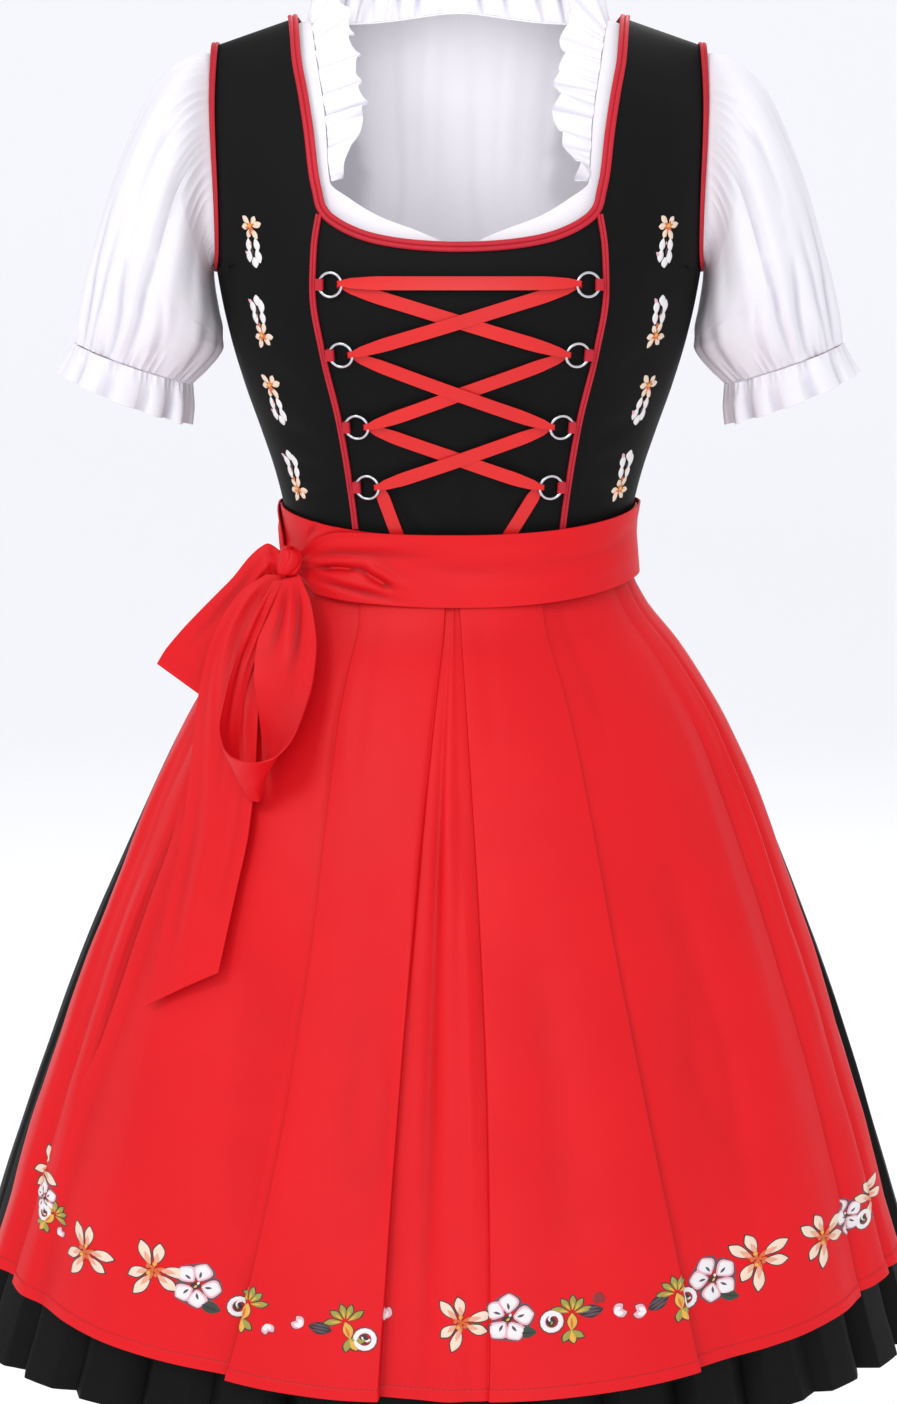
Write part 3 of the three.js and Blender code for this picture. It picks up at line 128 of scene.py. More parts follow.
# ---- Curves and surfaces ----
def mix(a, b, t):
    return a + (b - a) * t


def ease(low, high, x):
    t = np.clip((np.asarray(x, float) - low) / (high - low), 0, 1)
    return t * t * (3 - 2 * t)


def power(x, p):
    return np.sign(x) * np.abs(x) ** p


def unit(v):
    v = np.asarray(v, float)
    return v / np.maximum(np.linalg.norm(v, axis=-1, keepdims=True), 1e-9)


def root_depth(z):
    return np.sqrt(np.maximum(0, -np.asarray(z, float)))


def column(rows, which, warp=lambda x: x):
    """A smooth curve through one column of a table, read at a value of its first column."""
    table = sorted((float(warp(row[0])), row[which]) for row in rows)
    x = np.array([row[0] for row in table])
    y = np.array([row[1] for row in table], float)
    step = np.diff(y) / np.diff(x)
    slope = np.empty_like(y)
    slope[0], slope[-1] = step[0], step[-1]
    before, after = step[:-1], step[1:]
    total = np.where(before * after > 0, before + after, 1)
    slope[1:-1] = np.where(before * after > 0, 2 * before * after / total, 0)

    def read(value):
        at = np.clip(warp(value), x[0], x[-1])
        i = np.clip(np.searchsorted(x, at, side="right") - 1, 0, len(x) - 2)
        span = x[i + 1] - x[i]
        t = (at - x[i]) / span
        near = y[i] * (2 * t**3 - 3 * t**2 + 1) + slope[i] * span * (t**3 - 2 * t**2 + t)
        return near + y[i + 1] * (3 * t**2 - 2 * t**3) + slope[i + 1] * span * (t**3 - t**2)

    return read


torso_half, torso_front, torso_back, torso_mid = (column(TORSO, i, root_depth) for i in range(1, 5))
flare_half, flare_front, flare_back = (column(FLARE, i) for i in range(1, 4))
seam_x = column(FRONT_SEAM, 1)
strap_x = column(STRAP_INNER, 1, root_depth)


def torso(angle, root):
    """Points of the torso. Angle 0 is the front and 90 the wearer's left; root is root_depth(z)."""
    angle, root = np.broadcast_arrays(np.asarray(angle, float), np.asarray(root, float))
    z = -(root**2)
    s, c = np.sin(np.radians(angle)), np.cos(np.radians(angle))
    x = torso_half(z) * power(s, 2 / TORSO_SQUARE)
    depth = np.where(c > 0, torso_front(z), torso_back(z))
    y = torso_mid(z) - depth * power(c, 2 / TORSO_SQUARE)
    slope = SHOULDER_SLOPE * (1 - ease(0, 130, -z))
    return np.stack([x, y, z - slope * (np.abs(x) - STRAP_INNER_X)], axis=-1)


def torso_angle(x, root, back=False):
    share = np.clip(x / torso_half(-(np.asarray(root, float) ** 2)), -1, 1)
    angle = np.degrees(np.arcsin(power(share, TORSO_SQUARE / 2)))
    return 180 - angle if back else angle


def torso_normal(angle, root):
    angle, root = np.broadcast_arrays(np.asarray(angle, float), np.asarray(root, float))
    across = torso(angle + 0.3, root) - torso(angle - 0.3, root)
    rise = torso(angle, np.maximum(0, root - 0.05)) - torso(angle, root + 0.05)
    normal = unit(np.cross(across, rise))
    return np.where((root < 0.4)[..., None], np.array([0.0, 0.0, 1.0]), normal)


def armhole_angle(root):
    z = -(np.asarray(root, float) ** 2)
    fall = np.clip((z - ARMHOLE_WIDEST_Z) / (UNDERARM_Z - ARMHOLE_WIDEST_Z), 0, 1)
    share = 1 - (1 - STRAP_OUTER_SHARE) * np.sqrt(1 - fall * fall)
    return np.where(z <= UNDERARM_Z, 90, np.degrees(np.arcsin(share ** (TORSO_SQUARE / 2))))


def arc_degrees(length, root):
    return np.degrees(length / torso_half(-(np.asarray(root, float) ** 2)))


def dip(angle):
    """How far the waistline lies below its level at the side seams."""
    return -WAIST_DIP * np.maximum(0, np.cos(np.radians(angle))) ** 1.5


def flare_at(angle, level):
    angle, level = np.broadcast_arrays(np.asarray(angle, float), np.asarray(level, float))
    s, c = np.sin(np.radians(angle)), np.cos(np.radians(angle))
    z = level - dip(angle) * ease(-640, -430, level)
    sway = SKIRT_SWAY * np.clip((z + 445) / (SKIRT_HEM_Z + 445), 0, 1.1)
    depth = np.where(c > 0, flare_front(z), flare_back(z))
    return np.stack([sway + flare_half(z) * s, -depth * c, level], axis=-1)


def flare(angle, level, out=0.0):
    """Points of the flared form, moved out level by some millimetres."""
    ahead = unit(flare_at(np.asarray(angle) + 0.5, level) - flare_at(np.asarray(angle) - 0.5, level))
    outward = np.stack([ahead[..., 1], -ahead[..., 0], np.zeros_like(ahead[..., 0])], axis=-1)
    return flare_at(angle, level) + outward * np.asarray(out)[..., None]


def waist(angle, level, out):
    """Points round the waist, where level is the height at the side seams."""
    angle, level = np.broadcast_arrays(np.asarray(angle, float), np.asarray(level, float))
    s = power(np.sin(np.radians(angle)), 2 / TORSO_SQUARE)
    c = power(np.cos(np.radians(angle)), 2 / TORSO_SQUARE)
    z = np.maximum(level, WAIST_SEAM_Z)
    half, deep = torso_half(z), np.where(c > 0, torso_front(z), torso_back(z))
    at = np.stack([half * s, -deep * c, level + dip(angle)], axis=-1)
    outward = unit(np.stack([at[..., 0] / half**2, at[..., 1] / deep**2, np.zeros_like(half)], axis=-1))
    return at + outward * np.asarray(out)[..., None]


def neck_z(x):
    share = np.minimum(1, np.abs(x) / NECK_FRONT["corner_x"])
    return mix(NECK_FRONT["z"], NECK_FRONT["corner_z"], 0.5 * share**2 + 0.5 * share**6)


# ---- Making meshes ----
def shares(wide, tall):
    """Two grids, the share across and the share up, for a sheet of so many cells."""
    return np.meshgrid(np.linspace(0, 1, wide + 1), np.linspace(0, 1, tall + 1))


def grid_normals(grid, closed=False):
    if closed:
        across = np.roll(grid, -1, axis=1) - np.roll(grid, 1, axis=1)
    else:
        across = np.gradient(grid, axis=1)
    return unit(np.cross(across, np.gradient(grid, axis=0)))


def spread(grid):
    """The real width and height, in millimetres, at every point of a sheet."""
    wide = np.linalg.norm(np.diff(grid, axis=1), axis=2).mean(axis=0)
    tall = np.linalg.norm(np.diff(grid, axis=0), axis=2).mean(axis=1)
    u = np.concatenate([[0], np.cumsum(wide)])
    v = np.concatenate([[0], np.cumsum(tall)])
    return np.meshgrid(u, v)


def make_mesh(name, points, faces, uvs=None):
    """An object from points in millimetres, four- or three-cornered faces and a UV in metres for each corner."""
    mesh = bpy.data.meshes.new(name)
    corners = np.concatenate([np.asarray(face, np.int32).ravel() for face in faces])
    sizes = np.concatenate([np.full(len(face), np.asarray(face).shape[1], np.int32) for face in faces])
    mesh.vertices.add(len(points))
    mesh.vertices.foreach_set("co", (np.asarray(points, np.float32) * METRES).ravel())
    mesh.loops.add(len(corners))
    mesh.loops.foreach_set("vertex_index", corners)
    mesh.polygons.add(len(sizes))
    starts = np.concatenate([[0], np.cumsum(sizes)[:-1]]).astype(np.int32)
    mesh.polygons.foreach_set("loop_start", starts)
    mesh.polygons.foreach_set("loop_total", sizes)
    if uvs is not None:
        layer = mesh.uv_layers.new(name="cloth")
        layer.data.foreach_set("uv", (np.asarray(uvs, np.float32)[corners] * METRES).ravel())
    mesh.update(calc_edges=True)
    mesh.validate()
    mesh.polygons.foreach_set("use_smooth", np.ones(len(mesh.polygons), bool))
    mesh.set_sharp_from_angle(angle=math.radians(55))
    piece = bpy.data.objects.new(name, mesh)
    bpy.context.scene.collection.objects.link(piece)
    return piece


def hollows(grid, normals, reach, closed=False):
    """How many millimetres each point lies under the mean of the cloth within reach of it."""
    mean = grid
    for axis, wraps in ((0, False), (1, closed)):
        apart = np.linalg.norm(np.diff(grid, axis=axis), axis=2).mean()
        cells = int(np.clip(round(reach / max(apart, 1e-6)), 1, grid.shape[axis] // 3))
        pad = [(0, 0)] * 3
        pad[axis] = (cells + 1, cells)
        total = np.cumsum(np.pad(mean, pad, mode="wrap" if wraps else "edge"), axis=axis)
        size = grid.shape[axis]
        high = np.take(total, np.arange(size) + 2 * cells + 1, axis=axis)
        mean = (high - np.take(total, np.arange(size), axis=axis)) / (2 * cells + 1)
    return ((mean - grid) * normals).sum(axis=-1)


def cloth(name, grid, thick, lift=0.0, closed=False, turn=1, reach=7.0, deep=2.2):
    """A sheet of cloth on a grid of points: its face moved out by lift, its back a cloth's thickness behind. The
    attribute fold, painted shade, is 1 in hollows that lie deep millimetres under the cloth within reach of them."""
    normals = grid_normals(grid, closed) * turn
    painted_shade = hollows(grid, normals, reach, closed).ravel() / deep
    tall, wide = grid.shape[:2]
    face = grid + normals * lift
    back = grid + normals * (lift - thick)
    points = np.concatenate([face.reshape(-1, 3), back.reshape(-1, 3)])
    index = np.arange(tall * wide).reshape(tall, wide)
    if closed:
        index = np.concatenate([index, index[:, :1]], axis=1)
    a, b, c, d = index[:-1, :-1], index[:-1, 1:], index[1:, 1:], index[1:, :-1]
    front = np.stack([a, b, c, d], axis=-1).reshape(-1, 4)
    rear = front[:, ::-1] + tall * wide
    rims = [(index[0, 1:], index[0, :-1]), (index[-1, :-1], index[-1, 1:])]
    if not closed:
        rims += [(index[:-1, 0], index[1:, 0]), (index[1:, -1], index[:-1, -1])]
    under = tall * wide
    edges = np.concatenate([np.stack([p, q, q + under, p + under], axis=-1) for p, q in rims])
    faces = np.concatenate([front, rear, edges])
    if turn < 0:
        faces = faces[:, ::-1]
    u, v = spread(grid)
    uvs = np.stack([u, v], axis=-1).reshape(-1, 2)
    piece = make_mesh(name, points, [faces], np.concatenate([uvs, uvs]))
    # Painted shade: the fold attribute marks how deep each point lies in a hollow, on the face and, turned over,
    # on the back.
    fold = piece.data.attributes.new("fold", "FLOAT", "POINT")
    fold.data.foreach_set("value", np.clip(np.concatenate([painted_shade, -painted_shade]), 0, 1).astype(np.float32))
    return piece


def sweep(name, at, side, out, outline, closed=False, scale=None):
    """A solid swept along stations: outline points are (sideways, outwards) from each station."""
    outline = np.asarray(outline, float)
    x, y = outline[:, 0], outline[:, 1]
    if np.sum(x * np.roll(y, -1) - y * np.roll(x, -1)) < 0:
        outline = outline[::-1]
    count, size = len(at), len(outline)
    scale = np.ones(count) if scale is None else np.asarray(scale)
    rows = at[:, None] + side[:, None] * (outline[:, 0][None, :, None] * scale[:, None, None])
    rows = rows + out[:, None] * outline[:, 1][None, :, None]
    index = np.arange(count * size).reshape(count, size)
    index = np.concatenate([index, index[:, :1]], axis=1)
    if closed:
        index = np.concatenate([index, index[:1]], axis=0)
    a, b, c, d = index[:-1, :-1], index[:-1, 1:], index[1:, 1:], index[1:, :-1]
    quads = np.stack([a, b, c, d], axis=-1).reshape(-1, 4)
    faces = [quads]
    if not closed:
        faces += [index[:1, :-1][:, ::-1], index[-1:, :-1]]
    along = np.concatenate([[0], np.cumsum(np.linalg.norm(np.diff(at, axis=0), axis=1))])
    around = np.concatenate([[0], np.cumsum(np.linalg.norm(np.diff(outline, axis=0), axis=1))])
    u, v = np.meshgrid(around, along)
    piece = make_mesh(name, rows.reshape(-1, 3), faces, np.stack([u, v], axis=-1).reshape(-1, 2))
    if piece.data.polygons and volume(piece) < 0:
        piece.data.flip_normals()
    return piece


def volume(piece):
    """The signed volume of a closed mesh, negative where its faces point inwards."""
    mesh = piece.data
    mesh.calc_loop_triangles()
    corners = np.empty(len(mesh.loop_triangles) * 3, np.int32)
    mesh.loop_triangles.foreach_get("vertices", corners)
    points = np.empty(len(mesh.vertices) * 3)
    mesh.vertices.foreach_get("co", points)
    a, b, c = points.reshape(-1, 3)[corners.reshape(-1, 3)].transpose(1, 0, 2)
    return float(np.einsum("ij,ij->i", a, np.cross(b, c)).sum())


def smooth_path(points, closed=False, steps=6):
    """A smooth curve through points, with so many steps between each two."""
    points = np.asarray(points, float)
    if closed:
        padded = np.concatenate([points[-1:], points, points[:2]])
    else:
        padded = np.concatenate([2 * points[:1] - points[1:2], points, 2 * points[-1:] - points[-2:-1]])
    made = []
    for i in range(1, len(padded) - 2):
        p0, p1, p2, p3 = padded[i - 1 : i + 3]
        for t in np.arange(steps) / steps:
            made.append(
                0.5 * (2 * p1 + (p2 - p0) * t + (2 * p0 - 5 * p1 + 4 * p2 - p3) * t**2)
                + 0.5 * (3 * p1 - p0 - 3 * p2 + p3) * t**3
            )
    if not closed:
        made.append(points[-1])
    return np.array(made)


def stations(at, out, closed=False):
    """Along a path with outward directions: the same places, the sideways direction and the outward one."""
    if closed:
        along = unit(np.roll(at, -1, axis=0) - np.roll(at, 1, axis=0))
    else:
        along = unit(np.gradient(at, axis=0))
    side = unit(np.cross(along, out))
    return at, side, unit(np.cross(side, along))


def crease_heights(u, v, wide, tall, creases):
    """How far soft ridges and troughs stand out at u and v millimetres. A crease goes from one place to another,
    both as shares across and up, has a width in millimetres, and stands out by its height, in if negative."""
    out = np.zeros(np.shape(u))
    for u0, v0, u1, v1, width, height in creases:
        a = np.array([u0 * wide, v0 * tall])
        b = np.array([u1 * wide, v1 * tall])
        out += height * crease_profile(u, v, a, b, width)
    return out


def creased(grid, creases, turn=1):
    """The grid with creases laid on it."""
    u, v = spread(grid)
    out = crease_heights(u, v, u.max(), v.max(), creases)
    return grid + grid_normals(grid) * (out * turn)[..., None]


def crease_profile(u, v, a, b, width):
    """How strongly a crease from a to b shows at u and v: it fades in quickly and dies out slowly."""
    ab = b - a
    t = ((u - a[0]) * ab[0] + (v - a[1]) * ab[1]) / max(1e-6, ab @ ab)
    near = np.clip(t, 0, 1)
    gap = np.hypot(u - a[0] - near * ab[0], v - a[1] - near * ab[1])
    return np.exp(-((gap / width) ** 2)) * ease(-0.08, 0.35, t) * (1 - ease(0.55, 1.08, t))


def wander(u, v, size, seed=0.0):
    """A slow, even-tempered wander between -1 and 1 over a sheet, size millimetres from swell to swell."""
    k = 2 * math.pi / size
    a = np.sin(k * (0.83 * u + 0.41 * v) + seed)
    b = np.sin(k * (-0.47 * u + 0.96 * v) * 1.31 + seed * 1.7 + 2.0)
    c = np.sin(k * (1.12 * u - 0.72 * v) * 0.61 + seed * 0.6 + 4.1)
    return (a + b + c) / 3


def laid_on(grid, along, up):
    """Reads a sheet at millimetres along and up it: the place and the way out."""
    normals = grid_normals(grid)

    def read(a, b):
        i = np.interp(a, along, np.arange(len(along)))
        j = np.interp(b, up, np.arange(len(up)))
        i0 = np.clip(np.floor(i).astype(int), 0, len(along) - 2)
        j0 = np.clip(np.floor(j).astype(int), 0, len(up) - 2)
        fi, fj = (i - i0)[..., None], (j - j0)[..., None]

        def blend(values):
            low = mix(values[j0, i0], values[j0, i0 + 1], fi)
            return mix(low, mix(values[j0 + 1, i0], values[j0 + 1, i0 + 1], fi), fj)

        return blend(grid), unit(blend(normals))

    return read


# ---- Needlework ----
STITCH_SECTION = [(-1, 0), (-0.72, 0.66), (0, 1), (0.72, 0.66), (1, 0), (0.5, -0.35), (-0.5, -0.35)]


def size_of(name):
    """A size that the add-on's panel holds, in millimetres."""
    return getattr(bpy.context.scene.dirndl_sizes, name) / METRES


class Needlework:
    """Gathers padded satin stitch and lines of sewing stitches, thread by thread, on sheets of cloth."""

    def __init__(self):
        self.threads = {}

    def satin(self, thread, read, at, heading, length, width, bend, full, rise, lift, steps=9):
        """One padded shape: it starts at a place, runs a length towards a heading in degrees, turns by bend
        degrees on its way, and is widest at the share full."""
        t = np.linspace(0, 1, steps)
        turn = np.radians(heading + bend * t)
        path = np.cumsum(np.stack([np.cos(turn), np.sin(turn)], axis=-1), axis=0) * length / steps
        path = path - path[0] + np.asarray(at, float)
        grown = np.where(t < full, t / full, (1 - t) / (1 - full))
        half = width / 2 * np.maximum(0.12, np.sin(grown * np.pi / 2) ** 0.8)
        section = np.array(STITCH_SECTION)
        side = np.stack([-np.sin(turn), np.cos(turn)], axis=-1)
        flat = path[:, None] + side[:, None] * (half[:, None] * section[None, :, 0])[..., None]
        place, out = read(flat[..., 0], flat[..., 1])
        swell = np.minimum(1, 0.35 + half / half.max())[:, None]
        tall = lift + np.maximum(-0.3, rise * section[None, :, 1] * swell)
        points = place + out * tall[..., None]
        u, v = np.meshgrid(section[:, 0] * width / 2, t * length)
        self.add(thread, points, np.stack([v, u], axis=-1))

    def add(self, thread, points, uvs):
        tall, wide = points.shape[:2]
        index = np.arange(tall * wide).reshape(tall, wide)
        loop = np.concatenate([index, index[:, :1]], axis=1)
        corners = [loop[:-1, :-1], loop[:-1, 1:], loop[1:, 1:], loop[1:, :-1]]
        quads = np.stack(corners, axis=-1).reshape(-1, 4)
        fan = [(0, i, i + 1) for i in range(1, wide - 1)]
        caps = [[index[0][k] for k in tri[::-1]] for tri in fan]
        caps += [[index[-1][k] for k in tri] for tri in fan]
        points = points.reshape(-1, 3)
        faces, caps = quads, np.array(caps)
        corners = points[quads[:, :3]]
        out = np.cross(corners[:, 1] - corners[:, 0], corners[:, 2] - corners[:, 0])
        if (out * (corners.mean(axis=1) - points.mean(axis=0))).sum() < 0:
            faces, caps = quads[:, ::-1], caps[:, ::-1]
        self.threads.setdefault(thread, []).append((points, faces, caps, uvs.reshape(-1, 2)))

    def ring(self, thread, read, at, radius, width, start, sweep, rise):
        """An arc of satin stitch round a place."""
        turn = np.radians(start + np.linspace(0, sweep, 15))
        section = np.array(STITCH_SECTION)
        far = radius + section[None, :, 0] * width / 2
        place, out = read(at[0] + far * np.cos(turn)[:, None], at[1] + far * np.sin(turn)[:, None])
        points = place + out * (0.1 + np.maximum(-0.3, rise * section[None, :, 1]))[..., None]
        u, v = np.meshgrid(section[:, 0] * width / 2, turn * radius)
        self.add(thread, points, np.stack([v, u], axis=-1))

    def seam(self, thread, places, outs, gap=1.2, width=0.6, rise=0.4, lift=0.05):
        """A line of sewing stitches along places on the cloth."""
        length = size_of("stitch")
        run = np.concatenate([[0], np.cumsum(np.linalg.norm(np.diff(places, axis=0), axis=1))])
        section = np.array(STITCH_SECTION)
        for start in np.arange(gap, run[-1] - length, length + gap):
            t = start + np.linspace(0, length, 4)
            at = np.stack([np.interp(t, run, places[:, i]) for i in range(3)], axis=-1)
            out = unit(np.stack([np.interp(t, run, outs[:, i]) for i in range(3)], axis=-1))
            side = unit(np.cross(at[-1] - at[0], out))
            half = width / 2 * np.array([0.5, 1, 1, 0.5])
            points = at[:, None] + side[:, None] * (half[:, None] * section[None, :, 0])[..., None]
            points = points + out[:, None] * (lift + rise * section[None, :, 1])[..., None]
            u, v = np.meshgrid(section[:, 0] * width / 2, t)
            self.add(thread, points, np.stack([v, u], axis=-1))

    def finish(self, name, slot):
        """One piece for each thread used."""
        for thread, shapes in self.threads.items():
            first, points, quads, caps, uvs = 0, [], [], [], []
            for shape_points, shape_quads, shape_caps, shape_uvs in shapes:
                points.append(shape_points)
                quads.append(shape_quads + first)
                caps.append(shape_caps + first)
                uvs.append(shape_uvs)
                first += len(shape_points)
            joined = [np.concatenate(part) for part in (points, quads, caps, uvs)]
            piece = make_mesh(f"{name}_{thread}", joined[0], joined[1:3], joined[3])
            dress(piece, thread_of(thread), slot)


# ---- Materials ----
def linear(colour):
    """A linear colour from an sRGB hex value such as "#d8202a"."""
    parts = [int(colour[i : i + 2], 16) / 255 for i in (1, 3, 5)]
    return [c / 12.92 if c <= 0.04045 else ((c + 0.055) / 1.055) ** 2.4 for c in parts] + [1.0]


def node(tree, kind, inputs=None, **settings):
    """Adds a shader node with its settings, and sets or links its inputs."""
    made = tree.nodes.new("ShaderNode" + kind)
    for name, value in settings.items():
        setattr(made, name, value)
    for name, value in (inputs or {}).items():
        if isinstance(value, bpy.types.NodeSocket):
            tree.links.new(value, made.inputs[name])
        else:
            made.inputs[name].default_value = value
    return made


def new_material(name):
    material = bpy.data.materials.new(name)
    material.use_nodes = True
    material.node_tree.nodes.clear()
    return material, material.node_tree


def finish_material(material, tree, shader):
    node(tree, "OutputMaterial", {"Surface": shader.outputs["BSDF"]})
    material.diffuse_color = shader.inputs["Base Color"].default_value
    return material


def woven_cloth(
    name, colour, shade, deep, thread, twill, rough, sheen, shine=0.3, relief=0.25, soft=0.35, light=0.0
):
    """Woven cloth. Threads that lie thread millimetres apart give it a fine relief, slanted where it is a twill.
    A slow wander between its two colours is the unevenness of the dye, and deep is a painted shade: a darker
    colour mixed in where the fold attribute marks a hollow. Sheen is the light its fibres catch, shine how much it
    mirrors."""
    material, tree = new_material(name)
    place = node(tree, "UVMap", uv_map="cloth")
    slant = {"Vector": place.outputs["UV"], "Rotation": (0, 0, 1.1 if twill else 0.0)}
    turned = node(tree, "Mapping", slant)
    # A wave texture at scale 1 repeats about every 0.314 of a metre.
    threads = {"Vector": turned.outputs["Vector"], "Scale": 0.314 / (thread * METRES), "Distortion": 0.6}
    warp = node(tree, "TexWave", threads, bands_direction="X")
    weft = node(tree, "TexWave", threads, bands_direction="Y")
    weave = node(
        tree, "Mix", {"Factor": 0.12 if twill else 0.5, "A": warp.outputs["Fac"], "B": weft.outputs["Fac"]}
    )
    slubs = node(
        tree, "TexNoise", {"Vector": place.outputs["UV"], "Scale": 160.0, "Detail": 3.0, "Roughness": 0.5}
    )
    dyed = node(
        tree, "TexNoise", {"Vector": place.outputs["UV"], "Scale": 9.0, "Detail": 3.0, "Roughness": 0.45}
    )
    fine = node(
        tree, "Bump", {"Strength": relief, "Distance": 0.15 * METRES, "Height": weave.outputs["Result"]}
    )
    hand = node(tree, "Bump", {
        "Strength": soft,
        "Distance": 0.3 * METRES,
        "Height": slubs.outputs["Fac"],
        "Normal": fine.outputs["Normal"],
    })
    dyes = {"Factor": dyed.outputs["Fac"], "A": linear(shade), "B": linear(colour)}
    dye = node(tree, "Mix", dyes, data_type="RGBA")
    # Painted shade: where the fold attribute marks a hollow, the dye is mixed towards the darker colour deep.
    fold = node(tree, "Attribute", attribute_name="fold")
    painted_shade_mix = {"Factor": fold.outputs["Fac"], "A": dye.outputs["Result"], "B": linear(deep)}
    folded = node(tree, "Mix", painted_shade_mix, data_type="RGBA")
    shader = node(tree, "BsdfPrincipled", {
        "Base Color": folded.outputs[2],
        "Roughness": rough,
        "Specular IOR Level": shine,
        "Sheen Weight": sheen,
        "Sheen Roughness": 0.4,
        "Sheen Tint": linear(colour),
        "Normal": hand.outputs["Normal"],
    })
    if light:
        shader.inputs["Subsurface Weight"].default_value = light
        shader.inputs["Subsurface Radius"].default_value = (0.004, 0.004, 0.004)
    return finish_material(material, tree, shader)


def dress(piece, material, slot, *nodes):
    """Gives a piece its material, puts it on the garment's body, and hides the solids it stands for. The slot is
    not used.
    """
    piece.data.materials.clear()
    piece.data.materials.append(material)
    if nodes:
        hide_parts(*nodes)
    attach(piece, "root")
    return piece


MATERIALS = {}

# Each cloth: its material's name, its colour in the panel, the duller dye that it wanders to, its painted shade
# colour for the hollows of its folds, millimetres between threads, whether it is a twill, roughness, sheen, and
# what is its own.
CLOTHS = {
    # Tight cotton satin, close to matte: only its pressed edges catch the light.
    "black_cotton": ("cotton_satin_black", "black", "#0a0a0a", "#050505", 0.9, True, 0.62, 0.02, {"shine": 0.1}),
    # Thin polyester satin: smooth, with a soft gleam on each crease, and a darker red painted as shade between
    # them.
    "red_satin": (
        *("polyester_satin_red", "red", "#cc0c16", "#98050f", 0.7, False, 0.5, 0.05),
        {"shine": 0.2, "relief": 0.15, "soft": 0.25},
    ),
    # Ribbed tape: its ribs stand out and take a darker, even red.
    "red_trim": ("ribbed_tape_red", "trim", "#a31020", "#7c0a16", 1.0, False, 0.5, 0.15, {"relief": 0.5}),
    # Satin ribbon: smoother and brighter than the tape.
    "red_lace": ("satin_ribbon_red", "lace", "#c41014", "#8c0a0e", 0.8, False, 0.38, 0.15, {"shine": 0.4}),
    # Cotton batiste, so thin that light goes into it: its folds stay soft and bright, with a cool grey painted
    # shade in their hollows.
    "white_cotton": (
        *("cotton_batiste_white", "white", "#e1dee4", "#b7b4c2", 0.6, False, 0.8, 0.05),
        {"relief": 0.12, "light": 0.1},
    ),
}


def material_of(kind):
    """The material of one kind of cloth, or of the rings' steel, made when it is first asked for."""
    if kind not in MATERIALS and kind in CLOTHS:
        name, colour, *weave, more = CLOTHS[kind]
        MATERIALS[kind] = woven_cloth(name, getattr(bpy.context.scene.dirndl_look, colour), *weave, **more)
    elif kind not in MATERIALS:
        MATERIALS[kind] = polished_steel()
    return MATERIALS[kind]


# Colours of the embroidery cotton and the sewing threads.
THREADS = {
    "cream": "#f6dcc4",
    "peach": "#eea98a",
    "orange": "#e06a2c",
    "yellow": "#e8b23c",
    "white": "#f4f0f0",
    "pink": "#eeb4bf",
    "olive": "#a39a3a",
    "pine": "#1f3a2c",
    "plum": "#56434c",
    "wine": "#8f0a14",
    "ink": "#2a1214",
    "red_sewing": "#a00a14",
}


def thread_of(kind):
    """Mercerised cotton thread laid side by side: soft lines along each thread, and a silky light across them."""
    if kind in MATERIALS:
        return MATERIALS[kind]
    material, tree = new_material(f"mercerised_thread_{kind}")
    place = node(tree, "UVMap", uv_map="cloth")
    # Threads are 0.4 mm apart, drawn at 0.8 mm so that they still show from a garment's distance.
    twist = {"Vector": place.outputs["UV"], "Scale": 0.314 / (0.8 * METRES), "Distortion": 0.5}
    lines = node(tree, "TexWave", twist, bands_direction="X")
    tone = node(tree, "MapRange", {"Value": lines.outputs["Fac"], "To Min": 0.72, "To Max": 1.0})
    colour = node(tree, "HueSaturation", {"Color": linear(THREADS[kind]), "Value": tone.outputs["Result"]})
    relief = node(tree, "Bump", {"Strength": 0.5, "Distance": 0.2 * METRES, "Height": lines.outputs["Fac"]})
    shader = node(tree, "BsdfPrincipled", {
        "Base Color": colour.outputs["Color"],
        "Roughness": 0.45,
        "Sheen Weight": 0.15,
        "Normal": relief.outputs["Normal"],
    })
    MATERIALS[kind] = finish_material(material, tree, shader)
    material.diffuse_color = linear(THREADS[kind])
    return material


def polished_steel():
    """Nickel-plated steel wire, drawn and polished: bright, with faint scratches along the wire."""
    material, tree = new_material("nickel_plated_wire")
    place = node(tree, "TexCoord")
    scratches = node(tree, "TexNoise", {"Vector": place.outputs["Object"], "Scale": 900.0, "Detail": 2.0})
    rough = node(tree, "MapRange", {"Value": scratches.outputs["Fac"], "To Min": 0.16, "To Max": 0.34})
    finish = {"Base Color": linear("#c9cbd0"), "Metallic": 1.0, "Roughness": rough.outputs["Result"]}
    shader = node(tree, "BsdfPrincipled", finish)
    return finish_material(material, tree, shader)


